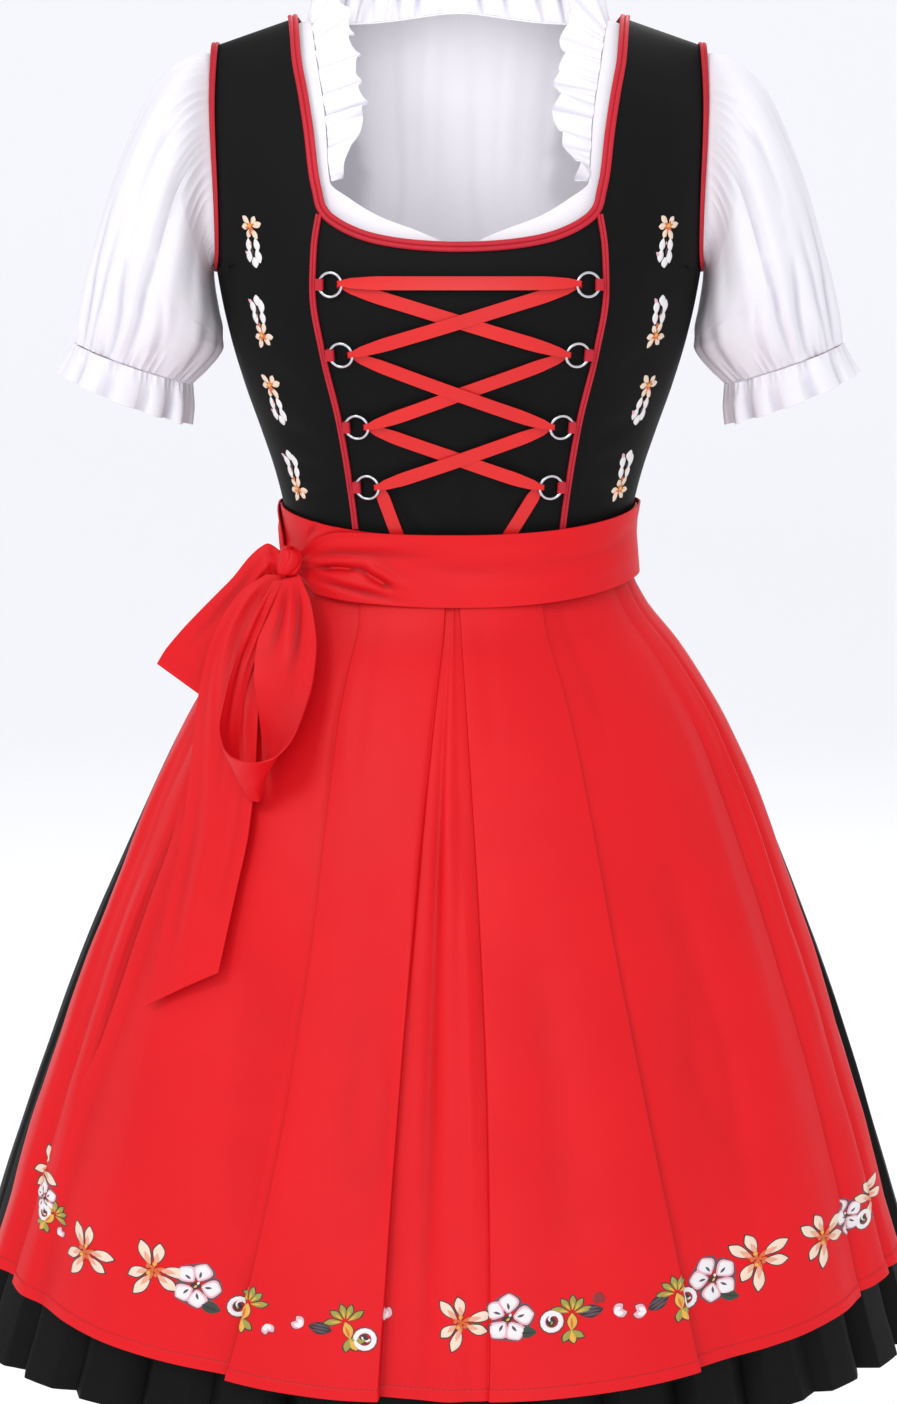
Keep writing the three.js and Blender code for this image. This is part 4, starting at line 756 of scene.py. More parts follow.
# ---- Bodice ----
# Soft folds of the bodice: on the front (-1) or back (1), x and z of both ends, width and height.
BODICE_FOLDS = [
    (-1, -58, -338, -34, -394, 7, -1.6),
    (-1, -46, -352, -20, -392, 5, 0.8),
    (-1, -18, -322, -30, -390, 8, -1.4),
    (-1, 4, -342, 14, -394, 6, -1.3),
    (-1, 22, -300, 46, -352, 9, -1.2),
    (-1, 34, -330, 50, -392, 7, -1.8),
    (-1, 46, -346, 36, -390, 5, 0.9),
    (-1, 66, -322, 58, -372, 7, -1.3),
    (-1, -70, -292, -52, -334, 9, -1.0),
    (-1, 60, -272, 34, -292, 10, -0.8),
    (-1, -150, -262, -112, -286, 9, -1.3),
    (-1, -142, -306, -100, -326, 8, -1.6),
    (-1, -136, -334, -92, -346, 6, -1.4),
    (-1, -130, -360, -86, -362, 6, -1.5),
    (-1, 150, -250, 118, -268, 9, -1.2),
    (-1, 142, -300, 98, -318, 8, -1.6),
    (-1, 136, -330, 94, -340, 7, -1.3),
    (-1, 131, -358, 88, -356, 6, -1.5),
    (-1, -172, -196, -132, -204, 10, -1.0),
    (-1, 172, -192, 136, -206, 10, -1.0),
    (-1, -166, -120, -148, -150, 9, -0.8),
    (-1, 164, -112, 150, -146, 9, -0.8),
    (1, -120, -300, -40, -322, 9, -1.5),
    (1, 116, -312, 30, -330, 9, -1.6),
    (1, -96, -348, -12, -352, 7, -1.6),
    (1, 104, -344, 18, -360, 7, -1.5),
    (1, -150, -236, -96, -262, 11, -1.1),
    (1, 146, -228, 90, -250, 11, -1.1),
    (1, -60, -366, 20, -372, 6, -1.4),
]


def with_folds(points, normals):
    """Moves points of the bodice in and out by its folds, which die out at the seams with the trim."""
    x, side, z = points[..., 0], np.sign(points[..., 1]), points[..., 2]
    out = np.zeros(x.shape)
    for face, x0, z0, x1, z1, width, height in BODICE_FOLDS:
        shape = crease_profile(x, z, np.array([x0, z0], float), np.array([x1, z1], float), width)
        out += np.where(side == face, height * shape, 0)
    return points + normals * out[..., None]


def bodice_centre_grid():
    u, v = shares(150, 150)
    reach = u * 2 - 1
    foot = root_depth(WAIST_SEAM_Z + dip(reach * 36))
    root = mix(foot, root_depth(neck_z(reach * NECK_FRONT["corner_x"])), v)
    return torso(torso_angle(reach * (seam_x(-(root**2)) - PANEL_GAP / 2), root), root)


def quarter_grid(hand, inner_x, foot, reach, back=False, top=SHOULDER_ROOT):
    """A quarter of the bodice or blouse: its inner edge runs along the middle or a seam and then the neck, its
    outer edge up the side seam and round the armhole."""
    u, v = shares(80, 220)
    out = u if (hand < 0) == back else 1 - u
    root = mix(root_depth(foot(out)), top, v)
    inner = torso_angle(inner_x(-(root**2)) + PANEL_GAP / 2, root)
    angle = mix(inner, reach(root), out)
    return torso(hand * (180 - angle if back else angle), root)


def bodice_reach(root):
    return armhole_angle(root) - arc_degrees(PANEL_GAP / 2, root)


def front_edge_x(z):
    return np.where(z < NECK_FRONT["corner_z"], seam_x(z), strap_x(z))


def back_neck_x(z):
    return np.where(z <= BACK_NECK_Z, 0, STRAP_INNER_X * np.abs(1 - z / BACK_NECK_Z) ** (1 / 3))


def bodice_front_foot(share):
    return WAIST_SEAM_Z + dip(mix(36, 90, share))


def bodice_back_foot(share):
    return np.full_like(share, WAIST_SEAM_Z)


def make_bodice():
    black = material_of("black_cotton")
    grid = bodice_centre_grid()
    centre = cloth("bodice_panel_centre", with_folds(grid, grid_normals(grid)), BODICE_THICK)
    dress(centre, black, "black_cotton", "bodice_centre")
    for name, hand in SIDES.items():
        grid = quarter_grid(hand, front_edge_x, bodice_front_foot, bodice_reach)
        piece = cloth(f"bodice_panel_front_{name}", with_folds(grid, grid_normals(grid)), BODICE_THICK)
        dress(piece, black, "black_cotton", f"bodice_front_{name}")
        grid = quarter_grid(hand, back_neck_x, bodice_back_foot, bodice_reach, back=True)
        piece = cloth(f"bodice_panel_back_{name}", with_folds(grid, grid_normals(grid)), BODICE_THICK)
        dress(piece, black, "black_cotton", f"bodice_back_{name}")


# ---- Embroidery ----
def towards(heading):
    """A step of one millimetre on a sheet, towards a heading in degrees."""
    return np.array([math.cos(math.radians(heading)), math.sin(math.radians(heading))])


def star_flower(work, read, at, turn, size):
    """A star with long cream petals, red strokes from its heart and a knotted yellow middle."""
    for k, share in enumerate((1.08, 0.84, 1.0, 0.78, 1.05, 0.9)):
        heading = turn + 60 * k + (7 if k % 2 else -5)
        away = towards(heading)
        long, wide = size * 0.5 * share, size * 0.17
        root = at + away * size * 0.1
        bend = 16 if k % 2 else -12
        work.satin("ink", read, root - away, heading, long * 0.9 + 2.4, wide + 1.5, bend, 0.6, 0.25, 0.02)
        work.satin("cream", read, root, heading, long * 0.9, wide, bend, 0.62, 0.8, 0.12)
        work.satin("peach", read, root, heading, long * 0.5, size * 0.08, bend, 0.4, 0.5, 0.75)
        work.satin("orange", read, at, heading + 12, long * 0.42, size * 0.05, 0, 0.5, 0.5, 0.6)
    for k in range(5):
        heading = turn + 72 * k
        spot = at + towards(heading) * size * 0.06
        thread = "yellow" if k % 2 else "orange"
        work.satin(thread, read, spot, heading, size * 0.08, size * 0.07, 0, 0.5, 0.7, 0.9)


def rose(work, read, at, turn, size):
    """An open rose of five round lobes, parted by dark lines, with pink shading and a dark heart."""
    for k in range(5):
        heading = turn + 72 * k + (6 if k % 2 else -4)
        away = towards(heading)
        root = at + away * size * 0.09
        long = size * 0.42
        work.satin("plum", read, root - away * 0.5, heading, long + 1.4, size * 0.43 + 1.6, 0, 0.6, 0.2, 0.02)
        work.satin("pink", read, root, heading, long, size * 0.38, 0, 0.6, 0.6, 0.1)
        spot = root + away * size * 0.03
        work.satin("white", read, spot, heading, size * 0.36, size * 0.31, 0, 0.6, 0.9, 0.3)
        spot = root + away * size * 0.07
        work.satin("plum", read, spot, heading, size * 0.15, size * 0.05, 20, 0.5, 0.3, 1.15)
    work.satin("ink", read, at - (size * 0.12, size * 0.02), 5, size * 0.24, size * 0.13, 0, 0.5, 0.5, 0.9)
    work.satin("yellow", read, at - (size * 0.04, size * 0.05), 40, size * 0.1, size * 0.06, 0, 0.5, 0.4, 1.1)
    work.satin("white", read, at + (size * 0.02, size * 0.02), 70, size * 0.08, size * 0.05, 0, 0.5, 0.4, 1.2)


def curled_bud(work, read, at, turn, size):
    """A white curl of thread round a dark heart with a leaf-green dot."""
    work.ring("wine", read, at, size * 0.36, size * 0.34, turn, 360, 0.2)
    work.satin("ink", read, at - (size * 0.2, 0), 0, size * 0.4, size * 0.4, 0, 0.5, 0.4, 0.1)
    work.ring("white", read, at, size * 0.36, size * 0.22, turn, 360, 0.9)
    work.ring("white", read, at + (size * 0.06, size * 0.1), size * 0.16, size * 0.1, turn + 40, 150, 0.5)
    work.satin("olive", read, at - (size * 0.04, size * 0.12), 60, size * 0.16, size * 0.1, 30, 0.5, 0.5, 0.6)


def gentian(work, read, at, turn, size):
    """A fan of olive petals on a yellow stem, with two leaves under it."""
    up = towards(turn)
    heart = at + up * size * 0.1
    for k, aside in enumerate((-78, -40, -6, 34, 74)):
        heading = turn + aside
        root = heart + towards(heading) * size * 0.07
        long = size * (0.4 if k in (0, 4) else 0.34)
        work.satin("ink", read, root, heading, long + 1, size * 0.13 + 1.2, 10, 0.62, 0.2, 0.02)
        work.satin("olive", read, root, heading, long, size * 0.13, 10, 0.62, 0.8, 0.12)
        work.satin("yellow", read, root, heading, long * 0.6, size * 0.045, 10, 0.5, 0.4, 0.8)
    foot = at - up * size * 0.26
    work.satin("ink", read, foot - up * 0.6, turn - 8, size * 0.4 + 1.2, size * 0.2 + 1.2, 14, 0.5, 0.2, 0.02)
    work.satin("yellow", read, foot, turn - 8, size * 0.4, size * 0.2, 14, 0.5, 0.9, 0.3)
    work.satin("orange", read, foot + up, turn - 4, size * 0.26, size * 0.06, 14, 0.5, 0.5, 1.0)
    for thread, aside in ("olive", 140), ("yellow", 186), ("olive", 232):
        work.satin("ink", read, foot, turn + aside, size * 0.32 + 1, size * 0.15 + 1.2, 14, 0.6, 0.2, 0.02)
        work.satin(thread, read, foot, turn + aside, size * 0.32, size * 0.14, 14, 0.6, 0.8, 0.12)


def heart_bud(work, read, at, turn, size):
    """Two small lobes side by side, white over pink."""
    for hand in (-1, 1):
        heading = turn + hand * 38
        work.satin("wine", read, at, heading, size * 0.7 + 1, size * 0.42 + 1, hand * -30, 0.6, 0.2, 0.02)
        work.satin("pink", read, at, heading, size * 0.7, size * 0.42, hand * -30, 0.6, 0.7, 0.1)
        work.satin("white", read, at, heading, size * 0.5, size * 0.24, hand * -30, 0.6, 0.5, 0.6)


def leaf(work, read, at, turn, size):
    """A pointed leaf with three veins."""
    back = towards(turn) * size / 2
    across = np.array([-back[1], back[0]]) / size
    foot = at - back
    work.satin("ink", read, foot - back * 0.1, turn, size * 1.1, size * 0.55, 0, 0.5, 0.3, 0.02)
    for k in (-1, 0, 1):
        root = foot + across * k * size * 0.26 + back * 0.12
        work.satin("plum", read, root, turn, size * 0.86, size * 0.12, 0, 0.5, 0.6, 0.3)


def rose_leaf(work, read, at, turn, size):
    """A dark green leaf that looks out from under a rose."""
    work.satin("pine", read, at, turn, size, size * 0.55, 12, 0.5, 0.5, 0.02)
    work.satin("ink", read, at + (0.6, -0.6), turn, size * 0.8, size * 0.1, 12, 0.5, 0.3, 0.5)


def wine_bud(work, read, at, turn, size):
    """A small heart in dark red."""
    for hand in (-1, 1):
        work.satin("wine", read, at, turn + hand * 28, size, size * 0.6, hand * -30, 0.65, 0.6, 0.05)


MOTIFS = {
    "star": star_flower,
    "rose": rose,
    "curl": curled_bud,
    "gentian": gentian,
    "heart": heart_bud,
    "leaf": leaf,
    "rose_leaf": rose_leaf,
    "wine_bud": wine_bud,
}

# The bodice's sprigs: x and z of each, and whether its star is above (1) or below (-1) its rose.
BODICE_SPRIGS = [(155, -168, 1), (149.5, -229, -1), (140.5, -287, 1), (126, -347, -1)]


def torso_patch(x, z):
    """Reads the bodice's front at millimetres to the wearer's left of a place and up from it."""
    root = root_depth(z)
    angle = torso_angle(x, root)
    speed = float(np.linalg.norm(torso(angle + 0.5, root) - torso(angle - 0.5, root)))

    def read(a, b):
        deep = root_depth(z + b)
        turn = angle + a / speed
        normals = torso_normal(turn, deep)
        return with_folds(torso(turn, deep), normals), normals

    return read


def make_bodice_embroidery():
    for name, hand in SIDES.items():
        work = Needlework()
        for x, z, upright in BODICE_SPRIGS:
            read = torso_patch(hand * x, z)
            lean = 90 + hand * 6 * upright

            def above(far, across):
                return np.array([across, far * upright])

            for k, aside in enumerate((8, 52, 128, 176, -62, -118)):
                heading = aside * upright
                root = above(10, 0) + towards(heading) * 1.5
                work.satin("cream", read, root, heading, 10.5 - k % 2 * 2, 4.8, 10, 0.62, 0.8, 0.1)
                work.satin("orange", read, above(10, 0), heading + 14, 5.5, 2.0, 0, 0.5, 0.5, 0.6)
            work.satin("yellow", read, above(10, -2), 20, 4.2, 3.2, 0, 0.5, 0.7, 0.9)
            work.satin("orange", read, above(3.5, -1), lean, 4, 2.6, 0, 0.5, 0.6, 0.2)
            work.satin("pink", read, above(-13, -4.5), lean + 30, 7, 3.2, 20, 0.5, 0.6, 0.1)
            for far, across, heading, long, wide in (
                (1.5, -3.4, -98, 11, 6.0),
                (1.5, 3.6, -84, 11, 6.0),
                (-6.5, -3.8, -100, 11, 6.4),
                (-6.5, 3.8, -82, 12, 6.6),
                (-12.5, 0.4, -88, 9, 7.0),
            ):
                work.satin("white", read, above(far, across), heading * upright, long, wide, 8, 0.55, 0.8, 0.1)
            work.satin("ink", read, above(-5.5, 0.2), lean + 180 * (upright > 0), 7, 2.6, 0, 0.5, 0.4, 0.7)
            work.satin("peach", read, above(-3.5, -0.6), lean, 3, 1.5, 0, 0.5, 0.5, 1.0)
        work.finish(f"embroidery_bodice_{name}", "white_cotton")


# ---- Bindings and piping ----
TAPE_THICK = {"neck_binding": 1.9, "arm_binding": 1.7, "piping": 1.7}
OVERHANG = 1
# x and z of places round the neckline's corner.
NECK_CORNER = [(91.5, -151.5), (97, -146.5), (100.6, -140.5), (102.6, -132)]


def neck_path():
    inset = size_of("neck_binding") / 2 - OVERHANG
    half = []
    for x in (0, 24, 46, 66, 82):
        root = root_depth(neck_z(x) - inset * 0.9)
        half.append((torso_angle(x, root), root))
    for x, z in NECK_CORNER:
        root = root_depth(z - inset * 0.6)
        half.append((torso_angle(x + inset * 0.6, root), root))
    for z in (-118, -90, -62, -38, -18, -6, -1):
        root = root_depth(z)
        half.append((torso_angle(strap_x(z) + inset, root), root))
    half.append((torso_angle(STRAP_INNER_X + inset, 0), 0))
    for share in (0.99, 0.95, 0.87, 0.76, 0.6, 0.4, 0.2, 0):
        root = root_depth(BACK_NECK_Z * (1 - share**3) - inset * (1 - share))
        half.append((torso_angle((STRAP_INNER_X + inset) * share, root, True), root))
    half = [(float(angle), float(root)) for angle, root in half]
    return half + [(-angle, root) for angle, root in half[-2:0:-1]]


def armhole_path(hand):
    inset = size_of("arm_binding") / 2 - OVERHANG
    front = []
    for z in (-1, -6, -16, -34, -60, -95, -130, -158, -175, -184):
        root = root_depth(z - (inset * 0.9 if z < -150 else 0))
        front.append((armhole_angle(root_depth(z)) - arc_degrees(inset, root) * 1.35, root))
    back = [(180 - angle, root) for angle, root in front[::-1]]
    top = [(armhole_angle(0) - arc_degrees(inset, 0) * 1.35, 0)]
    path = top + front + [(90, root_depth(UNDERARM_Z - inset))] + back
    return [(hand * float(angle), float(root)) for angle, root in path]


def taped_outline(width, thick, low):
    """A folded tape from the side: two soft lobes with the stitched line between them."""
    s = np.linspace(-1, 1, 13)
    top = low + thick * (0.42 + 0.58 * np.sqrt(np.abs(np.sin(np.pi * s))))
    top[0] = top[-1] = low + thick * 0.4
    face = np.stack([s * width / 2, top], axis=-1)
    return np.concatenate([face, [[width / 2, low], [-width / 2, low]]])


def trim(name, path, tape, closed, *nodes):
    angle, root = np.array(path, float).T
    at = smooth_path(torso(angle, root), closed)
    out = smooth_path(torso_normal(angle, root), closed)
    outline = taped_outline(size_of(tape), TAPE_THICK[tape], TRIM_LIFT)
    piece = sweep(name, *stations(at, unit(out), closed), outline, closed)
    return dress(piece, material_of("red_trim"), "red_trim", *nodes)


def make_bindings():
    trim("neckline_binding", neck_path(), "neck_binding", True, "binding_neckline")
    for name, hand in SIDES.items():
        trim(f"armhole_binding_{name}", armhole_path(hand), "arm_binding", True, f"binding_armhole_{name}")
        roots = root_depth(np.linspace(-384, NECK_FRONT["corner_z"] - 7.2, 24))
        path = [(hand * float(torso_angle(seam_x(-root * root), root)), float(root)) for root in roots]
        trim(f"seam_piping_{name}", path, "piping", False, f"piping_seam_{name}")


# ---- Rings, tabs and lace ----
RINGS = [(-200, 94), (-251, 86.5), (-305, 75.5), (-351, 68)]  # z and x of each pair
TAB = {"width": 8.5, "thick": 0.9, "slack": 1.2}
RING_BRAZE = math.radians(-145)  # where round the ring its ends meet
RING_HEIGHT = TRIM_LIFT + TAB["thick"] + 0.6 + RING_WIRE


def front_frame(x, z, height=0.0):
    """At a point of the front: the place, the level direction along the cloth, the way out and the way up."""
    root = root_depth(z)
    angle = torso_angle(x, root)
    level = unit(torso(angle + 0.3, root) - torso(angle - 0.3, root))
    out = torso_normal(angle, root)
    return torso(angle, root) + out * height, level, out, np.cross(out, level)


def model_ring():
    """One ring of flattened wire, with the swelling where its two ends are brazed together."""
    bpy.ops.object.select_all(action="DESELECT")
    bpy.ops.mesh.primitive_torus_add(
        major_radius=RING_RADIUS * METRES,
        minor_radius=RING_WIRE * METRES,
        major_segments=72,
        minor_segments=16,
    )
    ring = bpy.context.object
    bpy.ops.object.mode_set(mode="EDIT")
    bpy.ops.mesh.select_all(action="SELECT")
    bpy.ops.transform.resize(value=(1, 1, 0.88), center_override=(0, 0, 0))
    bpy.ops.mesh.select_all(action="DESELECT")
    bpy.ops.object.mode_set(mode="OBJECT")
    for vertex in ring.data.vertices:
        vertex.select = abs(math.atan2(vertex.co.y, vertex.co.x) - RING_BRAZE) < math.radians(9)
    bpy.ops.object.mode_set(mode="EDIT")
    braze = [RING_RADIUS * METRES * math.cos(RING_BRAZE), RING_RADIUS * METRES * math.sin(RING_BRAZE), 0]
    bpy.ops.transform.resize(value=(1.16, 1.16, 1.2), center_override=braze)
    bpy.ops.object.mode_set(mode="OBJECT")
    bpy.ops.object.shade_smooth()
    return ring


def make_rings():
    steel, tape = material_of("steel"), material_of("red_trim")
    pattern = model_ring()
    for i, (z, x) in enumerate(RINGS, 1):
        for name, hand in SIDES.items():
            at, level, out, rise = front_frame(hand * x, z, RING_HEIGHT)
            ring = bpy.data.objects.new(f"lacing_ring_{name}_{i}", pattern.data.copy())
            bpy.context.collection.objects.link(ring)
            turned = np.eye(4)
            turned[:3, 0], turned[:3, 1], turned[:3, 2], turned[:3, 3] = level, rise, out, at * METRES
            ring.data.transform(Matrix(turned.tolist()))
            dress(ring, steel, "ring_steel", f"ring_{name}_{i}")
            tab = ring_tab(f"ring_tab_{name}_{i}", at, level, out, rise, hand, x, z)
            dress(tab, tape, "red_trim", f"tab_{name}_{i}")
    bpy.data.objects.remove(pattern)


def ring_tab(name, at, level, out, rise, hand, x, z):
    """A folded tape from the princess seam, round the ring's outer wire and back on itself."""
    inner = RING_WIRE + 0.3
    outer = inner + TAB["thick"]
    reach = float(seam_x(z)) - size_of("piping") / 2 - 0.3 - (x + RING_RADIUS)
    bend = np.radians(np.linspace(90, -90, 13))
    outline = [(reach, inner)]
    outline += [(-TAB["slack"] - inner * math.cos(t), inner * math.sin(t)) for t in bend]
    outline += [(reach, -inner), (reach, -outer)]
    outline += [(-TAB["slack"] - outer * math.cos(t), -outer * math.sin(t)) for t in bend]
    outline += [(reach, outer)]
    along = np.linspace(-1, 1, 9)[:, None] * TAB["width"] / 2
    places = at + level * hand * RING_RADIUS + rise * along
    return sweep(name, places, np.tile(level * hand, (9, 1)), np.tile(out, (9, 1)), outline)


# Which ring the ribbon goes to next, on which side, the way it goes in, and how it lies at the crossing before.
LACE_ORDER = [
    (3, -1, "under", 0),
    (2, 1, "under", 1),
    (1, -1, "under", 1),
    (0, 1, "under", 1),
    (0, -1, "over", 0),
    (1, 1, "over", -1),
    (2, -1, "over", -1),
    (3, 1, "over", -1),
]
LACE_FEET = {"start": -43, "finish": 32, "z": -397}
LACE_CROSSING = 0.9
LACE_GATHERED = 0.42
LACE_SLACK = 1.5


def make_lace():
    wrap = RING_WIRE + 0.6 + RIBBON_THICK / 2
    heights = {"under": RING_HEIGHT - wrap, "over": RING_HEIGHT + wrap}
    rises = {"under": -1.2, "over": 1.2}
    rows = []  # place, outward, upward, wrapped, scale

    def run(start, end, bow):
        for t in np.linspace(0.04, 0.96, 24):
            crossing = max(0, 1 - abs(t - 0.5) / 0.3) * LACE_CROSSING * bow
            x, z, height = (mix(start[i], end[i], t) for i in range(3))
            at, level, out, rise = front_frame(x, z, height + crossing)
            narrow = 1 - 0.3 * (1 - float(ease(0, 0.16, min(t, 1 - t))))
            rows.append((at, out, rise, False, narrow))

    start = (LACE_FEET["start"], LACE_FEET["z"], heights["under"])
    for ring, hand, first, bow in LACE_ORDER:
        then = "over" if first == "under" else "under"
        z, x = RINGS[ring]
        inside = hand * (x - RING_RADIUS)
        run(start, (inside, z + rises[first], heights[first]), bow)
        centre, level, out, rise = front_frame(inside, z, RING_HEIGHT)
        for turn in np.radians(np.linspace(-80, 80, 9) if first == "under" else np.linspace(80, -80, 9)):
            radial = out * math.sin(turn) + level * hand * math.cos(turn)
            at = centre + radial * wrap + level * hand * LACE_SLACK * math.cos(turn)
            at = at + rise * rises["over"] * math.sin(turn)
            rows.append((at, radial, rise, True, LACE_GATHERED))
        start = (inside, z + rises[then], heights[then])
    run(start, (LACE_FEET["finish"], LACE_FEET["z"], heights["under"]), 0)

    places = np.array([row[0] for row in rows])
    along = unit(np.gradient(places, axis=0))
    sides, outs = [], []
    for i, (_, out, rise, wrapped, _) in enumerate(rows):
        if outs and out @ (outs[-1] * facing) < -0.2:
            facing = -facing
        elif not outs:
            facing = 1
        outs.append(out * facing)
        across = rise if wrapped else unit(np.cross(along[i], out))
        sides.append(across if across @ rise > 0 else -across)
    s = np.linspace(-1, 1, 9)
    half = RIBBON_THICK / 2
    reach = size_of("lace") / 2
    face = np.stack([s * reach, half - 0.35 * (1 - np.abs(s)) ** 0.5 * half], axis=-1)
    outline = np.concatenate([face, [[reach, -half], [-reach, -half]]])
    ribbon = sweep("lace", places, np.array(sides), np.array(outs), outline, scale=[row[4] for row in rows])
    dress(ribbon, material_of("red_lace"), "red_trim", "lacing")


# ---- Skirt ----
PLEATS = 36
PLEAT_DEPTH = {"waist": 2.2, "hem": 15}
PLEAT_SHAPE = [(-0.28, 0.12), (0, 1), (0.2, 0), (0.72, 0.12), (1, 1), (1.2, 0)]  # place in a pleat, and depth

HEM_TURN = np.linspace(-180, 180, 721)
HEM_LENGTH = np.concatenate(
    [[0], np.cumsum(np.linalg.norm(np.diff(flare_at(HEM_TURN, SKIRT_HEM_Z), axis=0), axis=1))]
)


def hem_angle(share):
    """The angle round the skirt at a share of the hem's length from the middle of the back."""
    return np.interp(np.asarray(share) * HEM_LENGTH[-1], HEM_LENGTH, HEM_TURN)


def pleat_size(k):
    return 0.78 + 0.2 * np.sin((k % PLEATS) * 2.4) + 0.08 * np.sin((k % PLEATS) * 5.1 + 1)


def pleat_depth(share, z):
    at = share * PLEATS
    k = np.floor(at)
    t = at - k
    shape = np.interp(t, [place for place, _ in PLEAT_SHAPE], [depth for _, depth in PLEAT_SHAPE])
    size = mix(pleat_size(k), pleat_size(k + 1), ease(0.5, 1, t))
    fall = np.clip((WAIST_SEAM_Z - z) / (WAIST_SEAM_Z - SKIRT_HEM_Z), 0, 1) ** 0.8
    return -shape * size * mix(PLEAT_DEPTH["waist"], PLEAT_DEPTH["hem"], fall)


# Where the skirt's points stand within a pleat: close together at its pressed edges.
PLEAT_COLUMNS = [0, 0.05, 0.12, 0.17, 0.195, 0.205, 0.24, 0.32, 0.42, 0.54, 0.66, 0.715, 0.76, 0.84, 0.93]


def skirt_grid(start, end, tall):
    first, last = round(start * PLEATS), round(end * PLEATS)
    places = np.concatenate([k + np.array(PLEAT_COLUMNS) for k in range(first, last)] + [[last]])
    share, v = np.meshgrid(places / PLEATS, np.linspace(0, 1, tall + 1) ** 1.15)
    wrapped = np.mod(share, 1)
    angle = hem_angle(wrapped)
    z = mix(SKIRT_HEM_Z, WAIST_SEAM_Z - 0.8 + dip(angle), v)
    fall = (WAIST_SEAM_Z - z) / (WAIST_SEAM_Z - SKIRT_HEM_Z)
    soft = wander(angle * 6, z, 240, 1.3) * 2.0 + wander(angle * 6, z, 90, 4.0) * 0.5
    hem = -0.5 * ease(19, 20.5, z - SKIRT_HEM_Z)
    return flare(angle, z, pleat_depth(wrapped, z) + (soft - 1.5) * np.clip(fall, 0, 1) + hem)


def make_skirt():
    black = material_of("black_cotton")
    for name, start, end in (("front", 0.25, 0.75), ("back", 0.75, 1.25)):
        piece = cloth(f"skirt_pleated_{name}", skirt_grid(start, end, 90), SKIRT_THICK)
        dress(piece, black, "black_cotton", f"skirt_{name}")


# ---- Apron ----
# From the wearer's right to left: where each crease meets the waistband and the hem, in degrees round the
# skirt, how far it stands out at the hem, and how many degrees it sways on the way down. Two close rows with
# different heights are a pressed edge.
CREASES = [
    (-86, -70, 4, 0),
    (-82, -67.5, 9, 0),
    (-77, -64.5, 13, 0),
    (-72, -61.5, 6, 0),
    (-69.5, -59.6, 3, 0),
    (-68.5, -58.6, 12, 0),
    (-65, -56, 14, 0),
    (-60, -52, 9, 0),
    (-54, -47, 12, 0),
    (-48, -41, 13, 0),
    (-42, -32, 9, 3),
    (-38, -25.8, 4, 6),
    (-36.6, -24.2, 3, 6.5),
    (-35.6, -23.2, 13, 6.5),
    (-26, -18.5, 15, 4),
    (-14, -13, 15, 1),
    (-5, -8, 13, 0),
    (-4, -6.8, 2, 0),
    (-2.9, -3.2, 4, 0),
    (-2.2, 0, 7, 0),
    (-1.5, 2.8, 3, 0),
    (-0.8, 4.5, 2, 1),
    (0.2, 5.7, 13, 1),
    (9, 11.5, 15, 0),
    (19, 19.5, 15, -3),
    (28.2, 27.6, 13, -4.5),
    (29.6, 28.8, 5, -4.5),
    (33, 32.5, 3, -3),
    (40, 38, 8, -1),
    (47, 44, 13, 0),
    (54, 50, 14, 0),
    (59, 54, 11, 0),
    (60.5, 55.4, 5, 0),
    (65, 58, 11, 0),
    (69, 61, 13, 0),
    (70.5, 62.4, 5, 0),
    (75, 65, 11, 0),
    (80, 67.5, 10, 0),
    (86, 70, 4, 0),
]
# Between two creases, the lip of a pressed edge: place in the table, and then the same columns.
PRESSED = [
    (4.5, -69.2, -59.35, 11, 0),
    (12.5, -36.45, -24.0, 12, 6.5),
    (16.5, -4.3, -7.0, 11.8, 0),
    (21.5, -0.55, 4.7, 12, 1),
    (25.5, 29.3, 28.35, 12, -4.5),
    (31.5, 60.2, 55.1, 10.4, 0),
    (34.5, 70.2, 62.1, 12.2, 0),
]
CREASE_ROWS = [(i / (len(CREASES) - 1), *crease) for i, crease in enumerate(CREASES)]
CREASE_ROWS += [(place / (len(CREASES) - 1), *lip) for place, *lip in PRESSED]
crease_waist, crease_hem, crease_out, crease_sway = (column(CREASE_ROWS, i) for i in (1, 2, 3, 4))
APRON_TOP_Z = BAND_TOP_Z - 35
BAND_FOOT_Z = BAND_TOP_Z - BAND_HEIGHT


def apron_hem_z(angle):
    return APRON_HEM_Z + APRON_CORNER_RISE * (np.abs(angle) / 70) ** 1.8


def apron_at(u, z, extra=0.0):
    """The apron at a share of the way across and a height, moved out by what its soft folds add."""
    u = np.clip(u, 0, 1)
    fall = np.clip((BAND_FOOT_Z - z) / (BAND_FOOT_Z - apron_hem_z(crease_hem(u))), 0, 1)
    sway = crease_sway(u) * np.sin(np.pi * fall**0.55)
    angle = mix(crease_waist(u), crease_hem(u), 1 - (1 - fall) ** 2.2) + sway
    # The middle pleat opens and flattens towards the hem on the wearer's left.
    place = u * (len(CREASES) - 1)
    opened = 7.5 * np.exp(-(((place - 20.7) / 1.5) ** 2)) * (1 - ease(21, 21.5, place))
    out = (crease_out(u) + opened * ease(0.4, 0.95, fall)) * mix(0.15, 1, fall**0.7)
    clear = mix(APRON_LIFT["waist"], APRON_LIFT["hem"], np.minimum(1, fall * 3))
    return flare(angle, z, clear + APRON_THICK + out + extra)


